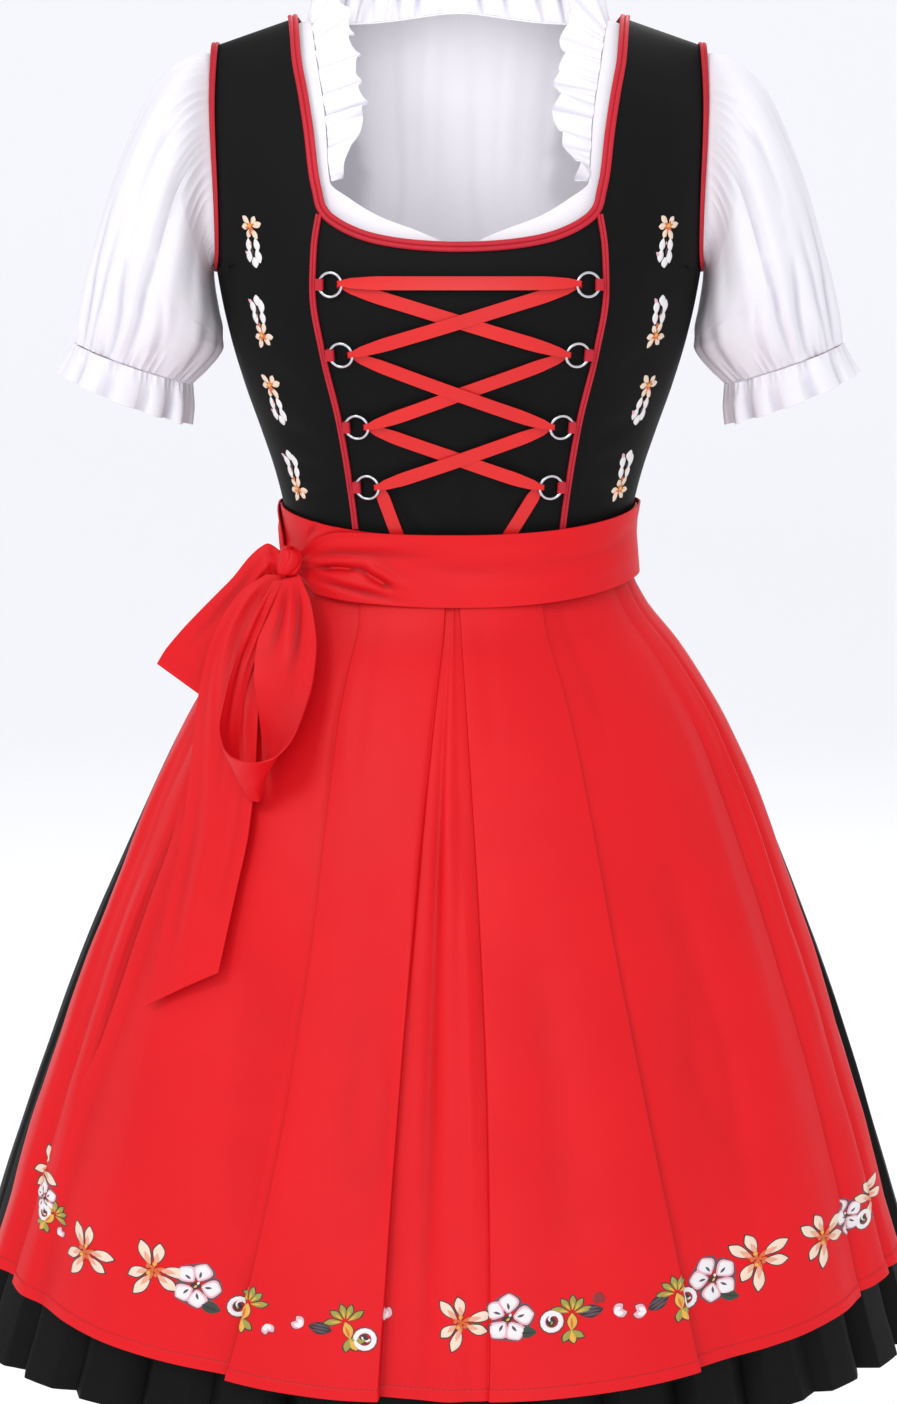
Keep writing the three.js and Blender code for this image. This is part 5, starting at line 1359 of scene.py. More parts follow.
# Soft folds of the apron, as shares across and up: ends, width and height.
APRON_FOLDS = [
    (0.167, 0.66, 0.16, 0.28, 4.5, -8),
    (0.184, 0.66, 0.178, 0.26, 8, 2.5),
    (0.150, 0.60, 0.140, 0.2, 12, 1.5),
    (0.262, 0.62, 0.278, 0.1, 16, -5),
    (0.225, 0.50, 0.232, 0.02, 14, 2.5),
    (0.30, 0.98, 0.31, 0.6, 9, -1.5),
    (0.345, 0.44, 0.35, 0.02, 10, 2.0),
    (0.40, 0.62, 0.405, 0.05, 22, -6),
    (0.43, 0.98, 0.44, 0.45, 8, -2.5),
    (0.475, 0.90, 0.48, 0.02, 9, -4.0),
    (0.53, 0.70, 0.525, 0.05, 10, 2.0),
    (0.61, 0.60, 0.615, 0.02, 20, -5),
    (0.70, 0.60, 0.70, 0.04, 12, 2.0),
    (0.735, 0.70, 0.74, 0.06, 16, -6.0),
    (0.79, 0.80, 0.777, 0.12, 12, 2.0),
    (0.852, 0.80, 0.835, 0.22, 10, -5),
    (0.90, 0.86, 0.884, 0.30, 8, 2.0),
    (0.93, 0.92, 0.925, 0.40, 8, -2.5),
    (0.06, 0.80, 0.06, 0.2, 9, -2.5),
    (0.10, 0.86, 0.10, 0.3, 9, 1.8),
    (0.36, 1.0, 0.365, 0.72, 7, -1.0),
    (0.60, 1.0, 0.595, 0.74, 7, -1.0),
    (0.72, 1.0, 0.72, 0.76, 6, -1.2),
]
APRON_HEM = 8.6  # height of the hem's line of stitches over the edge


def apron_grid(wide=560, tall=86):
    """The apron's face. Its lowest rows are a millimetre apart, for the turned-up hem."""
    hem_share = 14 / 600
    rows = np.concatenate([np.linspace(0, hem_share, 15), np.linspace(hem_share, 1, tall - 13)[1:]])
    u, v = np.meshgrid(np.linspace(0, 1, wide + 1), rows)
    z = mix(apron_hem_z(crease_hem(u)), APRON_TOP_Z + dip(crease_waist(u)), v)
    soft = wander(u * 900, v * 600, 170, 0.7) * 1.4 + wander(u * 900, v * 600, 60, 2.1) * 0.4
    out = crease_heights(u * 900, v * 600, 900, 600, APRON_FOLDS) + soft * ease(1, 0.75, v) - 0.5
    grid = apron_at(u, z, np.maximum(out, -6) * mix(1, 0.3, ease(0.8, 1, v)))
    hem = -0.6 * ease(APRON_HEM - 0.6, APRON_HEM + 0.4, v * 600) * (1 - ease(40, 90, v * 600))
    return grid + grid_normals(grid) * hem[..., None]


def apron_places(grid):
    """Reads the apron at millimetres to the wearer's left of its middle and up from its hem."""
    rise = np.linalg.norm(np.diff(grid, axis=0), axis=2).mean(axis=1)
    high = np.concatenate([[0], np.cumsum(rise)])
    row = grid[np.searchsorted(high, 48)]
    along = np.concatenate([[0], np.cumsum(np.linalg.norm(np.diff(row, axis=0), axis=1))])
    return laid_on(grid, along - along[-1] / 2, high)


# The garland over the hem: motif, how far to the wearer's left, how high over the hem, turn and size.
GARLAND = [
    ("star", -384, 90, 10, 34),
    ("rose", -366, 76, 40, 22),
    ("gentian", -352, 66, 60, 24),
    ("curl", -361, 66, 120, 12),
    ("heart", -341, 56, 60, 9),
    ("star", -305, 58, 20, 39),
    ("star", -241, 64, 14, 41),
    ("rose_leaf", -199, 48, -20, 15),
    ("rose", -205, 60, 0, 33),
    ("curl", -170, 50, 40, 15),
    ("gentian", -154, 54, 84, 31),
    ("heart", -136, 46, -60, 11),
    ("heart", -109, 49, 150, 12),
    ("leaf", -95, 49, -6, 15),
    ("gentian", -77, 52, 110, 31),
    ("curl", -63, 44, 140, 16),
    ("heart", -45, 56, 80, 15),
    ("star", 14, 57, 24, 38),
    ("rose_leaf", 56, 50, -12, 14),
    ("rose", 50, 60, 10, 35),
    ("curl", 82, 55, 20, 16),
    ("gentian", 97, 56, 84, 31),
    ("leaf", 113, 59, 4, 16),
    ("wine_bud", 119, 72, -90, 9),
    ("heart", 129, 55, 20, 13),
    ("heart", 153, 52, 160, 13),
    ("leaf", 165, 57, 24, 16),
    ("gentian", 180, 57, 96, 31),
    ("curl", 194, 52, 120, 15),
    ("rose_leaf", 222, 48, -30, 14),
    ("rose", 219, 60, 30, 34),
    ("star", 258, 65, 30, 41),
    ("star", 321, 62, 26, 39),
    ("rose", 361, 62, 20, 27),
    ("curl", 380, 52, 60, 14),
    ("star", 398, 62, 40, 34),
]


def make_apron():
    grid = apron_grid()
    piece = cloth("apron_panel", grid, APRON_THICK, reach=14, deep=7)
    dress(piece, material_of("red_satin"), "red_satin", "apron")


def make_apron_embroidery():
    read = apron_places(apron_grid())
    work = Needlework()
    for motif, along, up, turn, size in GARLAND:
        # Towards the sides the flowers were cut wider, as they are seen at a slant.
        wide = 1.08 + 0.4 * (along / 400) ** 2

        def place(a, b, along=along, wide=wide):
            return read(along + (np.asarray(a) - along) * wide, b)

        MOTIFS[motif](work, place, np.array([along, up], float), turn, size * 1.08)
    work.finish("embroidery_apron", "red_satin")
    work = Needlework()
    along = np.linspace(-449, 449, 900)
    places, outs = read(along, np.full_like(along, APRON_HEM))
    work.seam("red_sewing", places, outs, lift=0.0, rise=0.35)
    work.finish("apron_hem_seam", "red_satin")


# ---- Waistband and tie ----
WAISTBAND = {"reach": 88, "top": BAND_TOP_Z - 1.5, "foot": BAND_TOP_Z - 42, "lift_top": 2.6, "lift_foot": 5.8}
# The tie from the knot round the front, the far side and the back to the knot again: the angle, its upper and
# lower edge, and how deep it is folded.
TIE = [
    (-60, -403, -418, 3.2),
    (-55, -394, -422, 2.8),
    (-47, -383, -427, 1.8),
    (-36, -375, -427, 0.8),
    (-20, -372, -426, 0),
    (0, -371, -426, 0),
    (60, -371, -425, 0),
    (180, -371, -425, 0),
    (262, -372, -426, 0),
    (276, -379, -426, 1.5),
    (285, -397, -424, 2.8),
]
TIE_LIFT = {"top": 5.1, "foot": 9.4}
tie_top, tie_foot, tie_fold = (column(TIE, i) for i in (1, 2, 3))


# Folds of the waistband and of the tie near the knot, as shares along and up: ends, width and height.
BAND_FOLDS = [
    (0.165, 0.55, 0.245, 0.98, 2.6, 1.3),
    (0.16, 0.60, 0.205, 1.0, 2.4, -1.2),
    (0.17, 0.48, 0.28, 0.86, 3.0, -1.2),
    (0.18, 0.42, 0.32, 0.74, 3.0, 0.8),
]
TIE_FOLDS = [
    (0.012, 0.56, 0.078, 0.60, 3.2, 2.6),
    (0.062, 0.60, 0.108, 0.24, 3.2, 2.6),
    (0.020, 0.46, 0.070, 0.47, 2.6, -3.6),
    (0.058, 0.50, 0.096, 0.18, 2.6, -3.2),
    (0.016, 0.40, 0.100, 0.16, 3.0, 1.8),
    (0.014, 0.26, 0.110, 0.06, 3.0, -2.0),
    (0.010, 0.80, 0.120, 0.86, 4.0, 1.4),
    (0.016, 0.68, 0.140, 0.70, 4.0, -1.4),
    (0.110, 0.52, 0.260, 0.40, 6.0, -0.9),
    (0.130, 0.74, 0.330, 0.66, 6.0, 0.8),
    (0.180, 0.22, 0.400, 0.34, 6.0, 0.7),
    (0.300, 0.60, 0.420, 0.80, 6.0, -0.8),
    (0.520, 0.30, 0.700, 0.42, 6.0, -0.9),
    (0.600, 0.70, 0.820, 0.58, 6.0, 0.9),
    (0.985, 0.50, 0.900, 0.62, 4.0, -2.0),
    (0.990, 0.34, 0.910, 0.28, 4.0, -1.6),
    (0.988, 0.62, 0.880, 0.80, 4.0, 1.4),
]


def waistband_grid():
    u, v = shares(300, 26)
    lift = mix(WAISTBAND["lift_foot"], WAISTBAND["lift_top"], v)
    grid = waist(
        mix(-WAISTBAND["reach"], WAISTBAND["reach"], u), mix(WAISTBAND["foot"], WAISTBAND["top"], v), lift
    )
    return creased(grid, BAND_FOLDS)


def tie_grid():
    u, v = shares(640, 40)
    angle = mix(TIE[0][0], TIE[-1][0], u**1.12)
    z = mix(tie_foot(angle), tie_top(angle), v)
    low = np.clip((BAND_TOP_Z - z) / BAND_HEIGHT, 0, 1)
    crest = np.sin(v * np.pi * 2.5) ** 2 * tie_fold(angle) * 0.6
    grid = waist(angle, z, mix(TIE_LIFT["top"], TIE_LIFT["foot"], low) + crest)
    grid = creased(grid, [(a**0.9, b, c**0.9, *rest) for a, b, c, *rest in TIE_FOLDS])
    return grid + grid_normals(grid) * (wander(u * 800, v * 54, 70, 1.0) * 0.35)[..., None]


def make_waistband():
    red = material_of("red_satin")
    band = cloth("apron_band", waistband_grid(), TIE_THICK)
    dress(band, red, "red_satin", "apron_waistband")
    tie = cloth("apron_tie_round", tie_grid(), TIE_THICK)
    dress(tie, red, "red_satin", "apron_tie")


# ---- Bow ----
# Each ribbon is a table of its two edges, row by row along it, and how far it bellies out between them.
FRONT_LOOP = [
    (-121, -85, -420, -134, -82, -423.4, 1),
    (-111, -104, -443, -143, -96, -446, 2),
    (-107, -124, -469, -153, -104, -470, 3),
    (-109, -140, -491, -155, -114, -491, 3),
    (-115, -157, -511, -152, -122, -512, 3),
    (-125, -177, -532, -148, -134, -540, 2),
    (-139, -187, -543, -146, -150, -566, 1),
    (-153, -185, -546, -150, -160, -580, 0),
    (-166, -174, -545, -158, -156, -578, 1),
    (-176, -158, -539, -164, -143, -562, 1),
    (-180, -140, -526, -166, -129, -541, 1),
    (-177, -120, -507, -164, -112, -516, 1),
    (-171, -100, -484, -157, -96, -488, 1),
    (-161, -86, -459, -146, -87, -460, 0),
    (-150, -80, -439, -139, -80, -440, 0),
    (-142, -77, -425, -132, -77, -424.5, 0),
]
SIDE_LOOP = [
    (-137.4, -67.8, -403, -134.6, -69.6, -422, 1),
    (-147, -56, -399, -141, -60, -428, 2),
    (-153, -56, -402, -144, -59, -433, 4),
    (-161, -56, -409, -147, -58, -438, 4),
    (-175, -56, -426, -156, -58, -453, 4),
    (-188, -56, -439, -167, -60, -471, 3),
    (-215, -53, -467, -182, -64, -494, 2),
    (-229, -50, -484, -194, -66, -512, 1),
    (-235, -47, -494, -198, -66, -517, 0),
    (-233, -43, -493, -197, -62, -516, 0),
    (-212, -45, -466, -181, -58, -492, 0),
    (-186, -49, -439, -166, -54, -469, 0),
    (-173, -50, -426, -156, -53, -451, 0),
    (-159, -51, -410, -147, -53, -436, 0),
    (-148, -51, -401, -145, -52, -418, 0),
]
LONG_TAIL = [
    (-148, -69, -421.5, -131.5, -70, -422.6, 1),
    (-166, -72, -433, -140, -70, -441, 1.5),
    (-190, -76, -471, -149, -86, -477, 2.5),
    (-200, -80, -513, -152, -116, -519, 3),
    (-205, -98, -561, -153, -140, -560, 3),
    (-210, -124, -610, -157, -159, -602, 3),
    (-220, -143, -660, -166, -172, -645, 2.5),
    (-228, -157, -703, -174, -183, -681, 2.5),
    (-235, -166, -736, -179, -189, -704, 2.5),
]
UNDER_TAIL_ROWS = 6
UNDER_TAIL_SET = {"in": 4.2, "back": 2.0}
KNOT = {"x": -129.4, "y": -76.5, "z": -411, "wide": 9, "deep": 11.5, "tall": 11.5, "turn": -58, "lean": -12}


def ribbon_grid(rows, wide, tall):
    """A ribbon from its table: across from edge a to edge b, and up along it."""
    table = [(i, *row) for i, row in enumerate(rows)]
    reads = [column(table, i) for i in range(1, 8)]
    last = len(rows) - 1

    def edges(t):
        a = np.stack([reads[i](t) for i in range(3)], axis=-1)
        b = np.stack([reads[i](t) for i in range(3, 6)], axis=-1)
        return a, b

    t = np.linspace(0, last, tall + 1)
    a, b = edges(t)
    after, before = edges(np.minimum(last, t + 0.1)), edges(np.maximum(0, t - 0.1))
    along = after[0] - before[0] + after[1] - before[1]
    out = unit(np.cross(b - a, along))
    u = np.linspace(0, 1, wide + 1)
    arch = -reads[6](t)[:, None] * 4 * (u * (1 - u))[None, :]
    return mix(a[:, None], b[:, None], u[None, :, None]) + out[:, None] * arch[..., None]


def under_tail_rows():
    rows = []
    for row in LONG_TAIL[:UNDER_TAIL_ROWS]:
        a, b = np.array(row[:3], float), np.array(row[3:6], float)
        across = unit(b - a)
        back = unit(np.array([-across[1], across[0], 0])) * UNDER_TAIL_SET["back"]
        a, b = a + across * UNDER_TAIL_SET["in"] + back, b - across * UNDER_TAIL_SET["in"] + back
        rows.append((*a, *b, row[6] * 0.8))
    return rows


# Folds of the bow's ribbons, as shares across and along: ends, width and height.
RIBBON_FOLDS = {
    "bow_front_loop": [
        (0.30, 0.00, 0.42, 0.22, 3.5, -2.0),
        (0.55, 0.00, 0.55, 0.20, 3.5, 1.6),
        (0.78, 0.01, 0.70, 0.17, 3.0, -1.8),
        (0.12, 0.02, 0.20, 0.30, 4.5, 1.2),
        (0.35, 0.42, 0.60, 0.50, 5.0, -1.5),
        (0.70, 0.36, 0.40, 0.50, 5.0, 1.2),
        (0.30, 0.98, 0.40, 0.74, 3.5, -1.6),
        (0.70, 0.99, 0.62, 0.76, 3.5, 1.4),
        (0.50, 0.86, 0.50, 0.60, 5.0, -1.2),
    ],
    "bow_side_loop": [
        (0.25, 0.02, 0.30, 0.46, 3.5, 1.5),
        (0.48, 0.02, 0.52, 0.42, 3.0, -2.2),
        (0.78, 0.03, 0.74, 0.36, 3.0, 1.4),
        (0.62, 0.10, 0.66, 0.50, 3.0, -1.2),
        (0.30, 0.98, 0.34, 0.60, 4.0, -1.4),
        (0.66, 0.98, 0.64, 0.62, 4.0, 1.2),
    ],
    "bow_long_tail": [
        (0.25, 0.00, 0.34, 0.50, 5.0, -2.0),
        (0.50, 0.02, 0.50, 0.62, 6.0, 1.6),
        (0.76, 0.02, 0.70, 0.46, 4.0, -1.8),
        (0.86, 0.20, 0.80, 0.90, 5.0, 1.0),
        (0.20, 0.40, 0.24, 0.98, 7.0, 1.2),
        (0.42, 0.55, 0.46, 1.00, 7.0, -1.2),
    ],
    "bow_under_tail": [(0.4, 0.0, 0.45, 0.8, 5.0, -1.2), (0.7, 0.05, 0.65, 0.9, 5.0, 1.0)],
}
KNOT_FOLDS = [(0.04, 1.0), (0.17, 0.55), (0.31, 0.9), (0.46, 0.6), (0.60, 1.0), (0.73, 0.5), (0.88, 0.8)]


def knot_grid(around=140, levels=56):
    """A short band pulled tight over the ties: flat in front, boxy, and drawn into folds down its length."""
    turn, v = np.meshgrid(np.arange(around) / around, np.linspace(0, 1, levels + 1))
    latitude = np.radians(mix(-89.9, 89.9, v))
    level = np.cos(latitude) ** 0.42
    drawn = turn + 0.05 * np.sin(v * np.pi * 2 + 0.6)
    fold = np.zeros(turn.shape)
    for place, strength in KNOT_FOLDS:
        gap = np.abs(np.mod(drawn - place + 0.5, 1) - 0.5)
        fold -= strength * np.exp(-((gap / 0.022) ** 2))
    size = (0.93 + 0.13 * fold * (0.5 + 0.5 * np.abs(v * 2 - 1))) * level
    x = power(np.cos(turn * np.pi * 2), 0.8) * KNOT["wide"] * size
    y = power(np.sin(turn * np.pi * 2), 0.8) * KNOT["deep"] * 0.84 * size
    z = np.sin(latitude) * KNOT["tall"] * (1 - 0.12 * np.cos(turn * np.pi * 2))
    lean, swing = math.radians(KNOT["lean"]), math.radians(KNOT["turn"])
    y, z = y * math.cos(lean) - z * math.sin(lean), y * math.sin(lean) + z * math.cos(lean)
    x, y = x * math.cos(swing) - y * math.sin(swing), x * math.sin(swing) + y * math.cos(swing)
    return np.stack([x + KNOT["x"], y + KNOT["y"], z + KNOT["z"]], axis=-1)


def make_bow():
    red = material_of("red_satin")
    knot = cloth("bow_knot_band", knot_grid(), 1.2, closed=True)
    dress(knot, red, "red_satin", "bow_knot")
    loops = (
        ("bow_front_loop", FRONT_LOOP, "bow_loop_front", (0.045, 0.34), 260),
        ("bow_side_loop", SIDE_LOOP, "bow_loop_side", (0.04, 0.26), 200),
        ("bow_long_tail", LONG_TAIL, "bow_tail_long", (0.055, 0.34), 220),
        ("bow_under_tail", under_tail_rows(), "bow_tail_under", (0.045, 0.21), 120),
    )
    for name, rows, solid, flat, tall in loops:
        grid = creased(ribbon_grid(rows, 44, tall), RIBBON_FOLDS[name])
        piece = cloth(name, grid, TIE_THICK, lift=TIE_THICK / 2)
        dress(piece, red, "red_satin", solid)


# ---- Blouse ----
BLOUSE_FOOT_Z = -300
BLOUSE_EDGE = [
    (-300, 0),
    (-176, 0),
    (-168, 12),
    (-160, 30),
    (-149, 60),
    (-136, 82),
    (-124, 97),
    (-80, 101),
    (-35, 109),
    (0, 115),
]
BLOUSE_BACK_NECK_Z = -19
NECK_CURVE = 30  # how far from the middle the back of the neck rounds off the slope of the shoulders
BLOUSE_NECK_X = 115
BLOUSE_SHOULDER = 0.05
blouse_x = column(BLOUSE_EDGE, 1)


def blouse_reach(root):
    hole = armhole_angle(root_depth(-(root**2) - 3)) - 2.6
    return np.minimum(90, hole) - arc_degrees(PANEL_GAP / 2, root)


def rounded_neck(points, weight=1.0):
    """The slope of the two shoulders as one soft curve over the back of the neck."""
    x = points[..., 0]
    fall = SHOULDER_SLOPE * (np.abs(x) - np.hypot(x, NECK_CURVE)) * weight
    return points + np.stack([np.zeros_like(x), np.zeros_like(x), fall], axis=-1)


def blouse_back_grid():
    u, v = shares(190, 130)
    reach = 1 - u * 2
    x = np.abs(reach) * 188
    share = np.minimum(1, x / BLOUSE_NECK_X)
    neck = BLOUSE_BACK_NECK_Z * (1 - share**2.4)
    root = mix(root_depth(BLOUSE_FOOT_Z), np.maximum(BLOUSE_SHOULDER, root_depth(neck)), v)
    outer = blouse_reach(root)
    widest = torso_half(-(root**2)) * np.sin(np.radians(outer)) ** (2 / TORSO_SQUARE)
    high = torso_angle(np.abs(reach) * widest, root)
    angle = mix(np.abs(reach) * outer, high, ease(-230, -120, -(root**2)))
    angle = 180 - np.sign(reach) * angle
    inside = torso(angle, root) - torso_normal(angle, root) * BLOUSE_INSET
    return rounded_neck(inside, ease(-90, -10, -(root**2)))


# Soft folds of the blouse's back, which shows through the neck, as shares across and up.
BACK_FOLDS = [
    (0.30, 0.98, 0.33, 0.30, 9, -1.4),
    (0.38, 0.96, 0.40, 0.45, 7, 1.0),
    (0.47, 0.97, 0.46, 0.25, 10, -1.2),
    (0.56, 0.97, 0.58, 0.50, 7, 1.0),
    (0.64, 0.98, 0.62, 0.35, 8, -1.4),
    (0.72, 0.97, 0.69, 0.50, 7, -0.9),
]
FRONT_FOLDS = [
    (0.3, 0.42, 0.8, 0.50, 8, -1.0),
    (0.5, 0.30, 0.9, 0.34, 9, -1.0),
    (0.2, 0.55, 0.5, 0.62, 7, 0.7),
]


def blouse_foot(share):
    return np.full_like(share, BLOUSE_FOOT_Z)


def make_blouse():
    white = material_of("white_cotton")
    for name, hand in SIDES.items():
        grid = quarter_grid(hand, blouse_x, blouse_foot, blouse_reach, top=BLOUSE_SHOULDER)
        grid = creased(grid, FRONT_FOLDS)
        piece = cloth(f"blouse_panel_front_{name}", grid, BLOUSE_THICK, lift=-BLOUSE_INSET)
        dress(piece, white, "white_cotton", f"blouse_front_{name}")
    grid = creased(blouse_back_grid(), BACK_FOLDS, turn=-1)
    piece = cloth("blouse_panel_back", grid, BLOUSE_THICK)
    dress(piece, white, "white_cotton", "blouse_back")


# ---- Sleeves ----
# Sections from the armhole to the cuff: share along, outer end x and z, inner end x and z, half depth, gathers.
SLEEVE = [
    (0.2, 205, -24, 192.6, -189, 56, 1.2),
    (0.34, 233, -51, 190, -212, 64, 1),
    (0.48, 254, -91, 187, -226, 69, 0.8),
    (0.64, 275, -147, 184.5, -238, 71, 0.8),
    (0.8, 291, -200, 184.5, -250, 67, 1.8),
    (0.92, 298, -234, 197, -268, 57, 3),
    (1, 299.5, -247, 208, -279, 47, 2),
]
SLEEVE_GATHERS = 14
SLEEVE_HEAD = {"scale": 0.945, "x": 183, "y": 3, "z": -100, "step": 4.5, "flat": np.array([1, 0.93, 1])}
CUFF = [
    (0, 299.8, -248, 208, -280, 47, 1.4),
    (0.5, 304, -260, 208, -295, 50, 2.6),
    (1, 310, -272, 210, -311, 54, 4),
]
CUFF_WAVES = 12
SLEEVE_READS = [column(SLEEVE, i) for i in range(1, 7)]
CUFF_READS = [column(CUFF, i) for i in range(1, 7)]


def section(reads, t, turn):
    """A section's point and the way out from its middle; a turn starts at the outer end."""
    out_x, out_z, in_x, in_z, deep = (read(t) for read in reads[:5])
    c, s = np.cos(turn * np.pi * 2), np.sin(turn * np.pi * 2)
    at = np.stack([mix(in_x, out_x, (c + 1) / 2), 3 + deep * s, mix(in_z, out_z, (c + 1) / 2)], axis=-1)
    middle = np.stack([(in_x + out_x) / 2, np.full_like(c, 3), (in_z + out_z) / 2], axis=-1)
    return at, unit(at - middle)


def armhole_loop(turn):
    share = np.mod(turn, 1)
    down = np.where(share < 0.5, share * 2, 2 - share * 2)
    root = root_depth(UNDERARM_Z * 0.5 * (1 - np.cos(down * np.pi)))
    angle = np.where(share < 0.5, 180 - armhole_angle(root), armhole_angle(root))
    centre = np.array([SLEEVE_HEAD["x"], SLEEVE_HEAD["y"], SLEEVE_HEAD["z"]])
    return (torso(angle, root) - centre) * SLEEVE_HEAD["scale"] + centre, torso_normal(angle, root)


# Folds of a sleeve: turn round it and share along it at both ends, width and height. Turn 0 is the outside,
# 0.75 the front and 0.25 the back.
SLEEVE_FOLDS = [
    (0.93, 0.10, 0.96, 0.62, 0.020, -3.2),
    (0.88, 0.12, 0.90, 0.78, 0.022, 2.6),
    (0.84, 0.10, 0.84, 0.56, 0.016, -3.0),
    (0.79, 0.14, 0.79, 0.86, 0.022, 2.4),
    (0.74, 0.16, 0.75, 0.70, 0.018, -3.0),
    (0.70, 0.22, 0.71, 0.88, 0.020, 2.0),
    (0.66, 0.20, 0.66, 0.64, 0.018, -2.6),
    (0.62, 0.30, 0.63, 0.90, 0.020, 1.6),
    (0.58, 0.26, 0.59, 0.80, 0.018, -2.2),
    (0.02, 0.12, 0.03, 0.72, 0.022, 2.4),
    (0.07, 0.10, 0.06, 0.60, 0.018, -3.0),
    (0.12, 0.14, 0.12, 0.84, 0.022, 2.4),
    (0.17, 0.12, 0.16, 0.60, 0.018, -2.8),
    (0.22, 0.16, 0.23, 0.82, 0.022, 2.2),
    (0.28, 0.18, 0.27, 0.66, 0.018, -2.6),
    (0.34, 0.24, 0.35, 0.86, 0.020, 1.8),
    (0.40, 0.26, 0.40, 0.74, 0.018, -2.2),
    (0.92, 0.58, 0.90, 0.98, 0.014, -2.8),
    (0.86, 0.62, 0.87, 0.99, 0.012, -2.6),
    (0.82, 0.66, 0.80, 0.98, 0.014, -3.0),
    (0.76, 0.60, 0.77, 0.99, 0.012, -2.6),
    (0.72, 0.68, 0.70, 0.98, 0.012, -2.4),
    (0.98, 0.64, 0.97, 0.99, 0.014, -2.6),
    (0.05, 0.62, 0.04, 0.98, 0.014, -2.8),
    (0.11, 0.66, 0.12, 0.99, 0.012, -2.4),
    (0.18, 0.60, 0.17, 0.98, 0.014, -2.6),
    (0.25, 0.66, 0.26, 0.99, 0.012, -2.4),
    (0.32, 0.64, 0.31, 0.98, 0.014, -2.4),
]
PUCKERS = 52


def tube_folds(turn, t, folds):
    out = np.zeros(np.broadcast(turn, t).shape)
    for turn0, t0, turn1, t1, width, height in folds:
        run = np.clip((t - t0) / (t1 - t0), 0, 1)
        gap = np.abs(np.mod(turn - mix(turn0, turn1, run) + 0.5, 1) - 0.5)
        out += height * np.exp(-((gap / width) ** 2)) * np.sin(run * np.pi) ** 0.7
    return out


def sleeve_at(turn, t):
    first = SLEEVE[1][0]
    late = np.maximum(first, t)
    at, outward = section(SLEEVE_READS, late, turn)
    drawn = turn + 0.010 * np.sin(turn * np.pi * 10 + 1) + 0.004 * np.sin(turn * np.pi * 26)
    gather = np.cos(drawn * np.pi * 2 * SLEEVE_GATHERS) * SLEEVE_READS[5](late) * 0.5
    pucker = -np.abs(np.sin(drawn * np.pi * PUCKERS)) ** 0.6 * (1.1 + 0.6 * np.sin(turn * np.pi * 14 + 2))
    gather = gather + pucker * ease(0.86, 0.985, t) * 1.6
    gather = gather + tube_folds(turn, t, SLEEVE_FOLDS) * ease(0.1, 0.3, t)
    gather = gather + wander(turn * 420, t * 260, 70, 3.0) * 0.7 * ease(0.15, 0.4, t)
    gather = gather + pucker * (1 - ease(0.2, 0.42, t)) * 0.7
    at = at + outward * (gather * np.where((outward[..., 0] > 0) | (t > 0.7), 1, 0.6))[..., None]
    loop, normal = armhole_loop(turn)
    neck = loop + normal * 3 + np.array([SLEEVE_HEAD["step"], 0, 0])
    start = loop - normal * BLOUSE_INSET
    # From inside the armhole one soft curve leads past its binding and over the shoulder into the second section.
    shoulder, away = section(SLEEVE_READS, np.full_like(t, SLEEVE[0][0]), turn)
    shoulder = (shoulder + away * (pucker * 1.4)[..., None]) * SLEEVE_HEAD["flat"]
    shoulder = mix(neck, shoulder, 1.35)
    s = np.clip(t / first, 0, 1)[..., None]
    head = start * (1 - s) ** 3 + neck * 3 * s * (1 - s) ** 2 + shoulder * 3 * s**2 * (1 - s) + at * s**3
    return np.where((t < first)[..., None], head, at)


def cuff_at(turn, t):
    at, outward = section(CUFF_READS, t, turn)
    drawn = turn + 0.012 * np.sin(turn * np.pi * 6 + 0.5) + 0.006 * np.sin(turn * np.pi * 22 + 2)
    flute = np.cos(drawn * np.pi * 2 * CUFF_WAVES)
    flute = np.sign(flute) * np.abs(flute) ** 0.7 * (0.85 + 0.35 * np.sin(turn * np.pi * 10 + 1))
    flute = flute + 0.3 * np.cos(turn * np.pi * 10 + 1)
    tuck = -np.abs(np.sin(drawn * np.pi * PUCKERS)) ** 0.6 * 1.3 * (1 - ease(0.0, 0.45, t))
    return at + outward * (flute * CUFF_READS[5](t) + tuck)[..., None]


def tube(surface, hand, wide, tall):
    turn, v = np.meshgrid(np.arange(wide) / wide, np.linspace(0, 1, tall + 1))
    return surface(turn, 1 - v) * np.array([hand, 1, 1])


def make_sleeves():
    white = material_of("white_cotton")
    for name, hand in SIDES.items():
        head = tube(sleeve_at, hand, 360, 92)
        sleeve = cloth(f"puff_sleeve_{name}", head, BLOUSE_THICK, closed=True, turn=hand, deep=1.8)
        dress(sleeve, white, "white_cotton", f"sleeve_{name}")
        frill = tube(cuff_at, hand, 480, 24)
        cuff = cloth(f"cuff_frill_{name}", frill, BLOUSE_THICK, closed=True, turn=hand, reach=5, deep=1.5)
        dress(cuff, white, "white_cotton", f"cuff_{name}")


# ---- Neck ruffle ----
RUFFLE = {"waves": 32, "wave": 3.4, "shoulder": 0.46, "foot": 1.2}


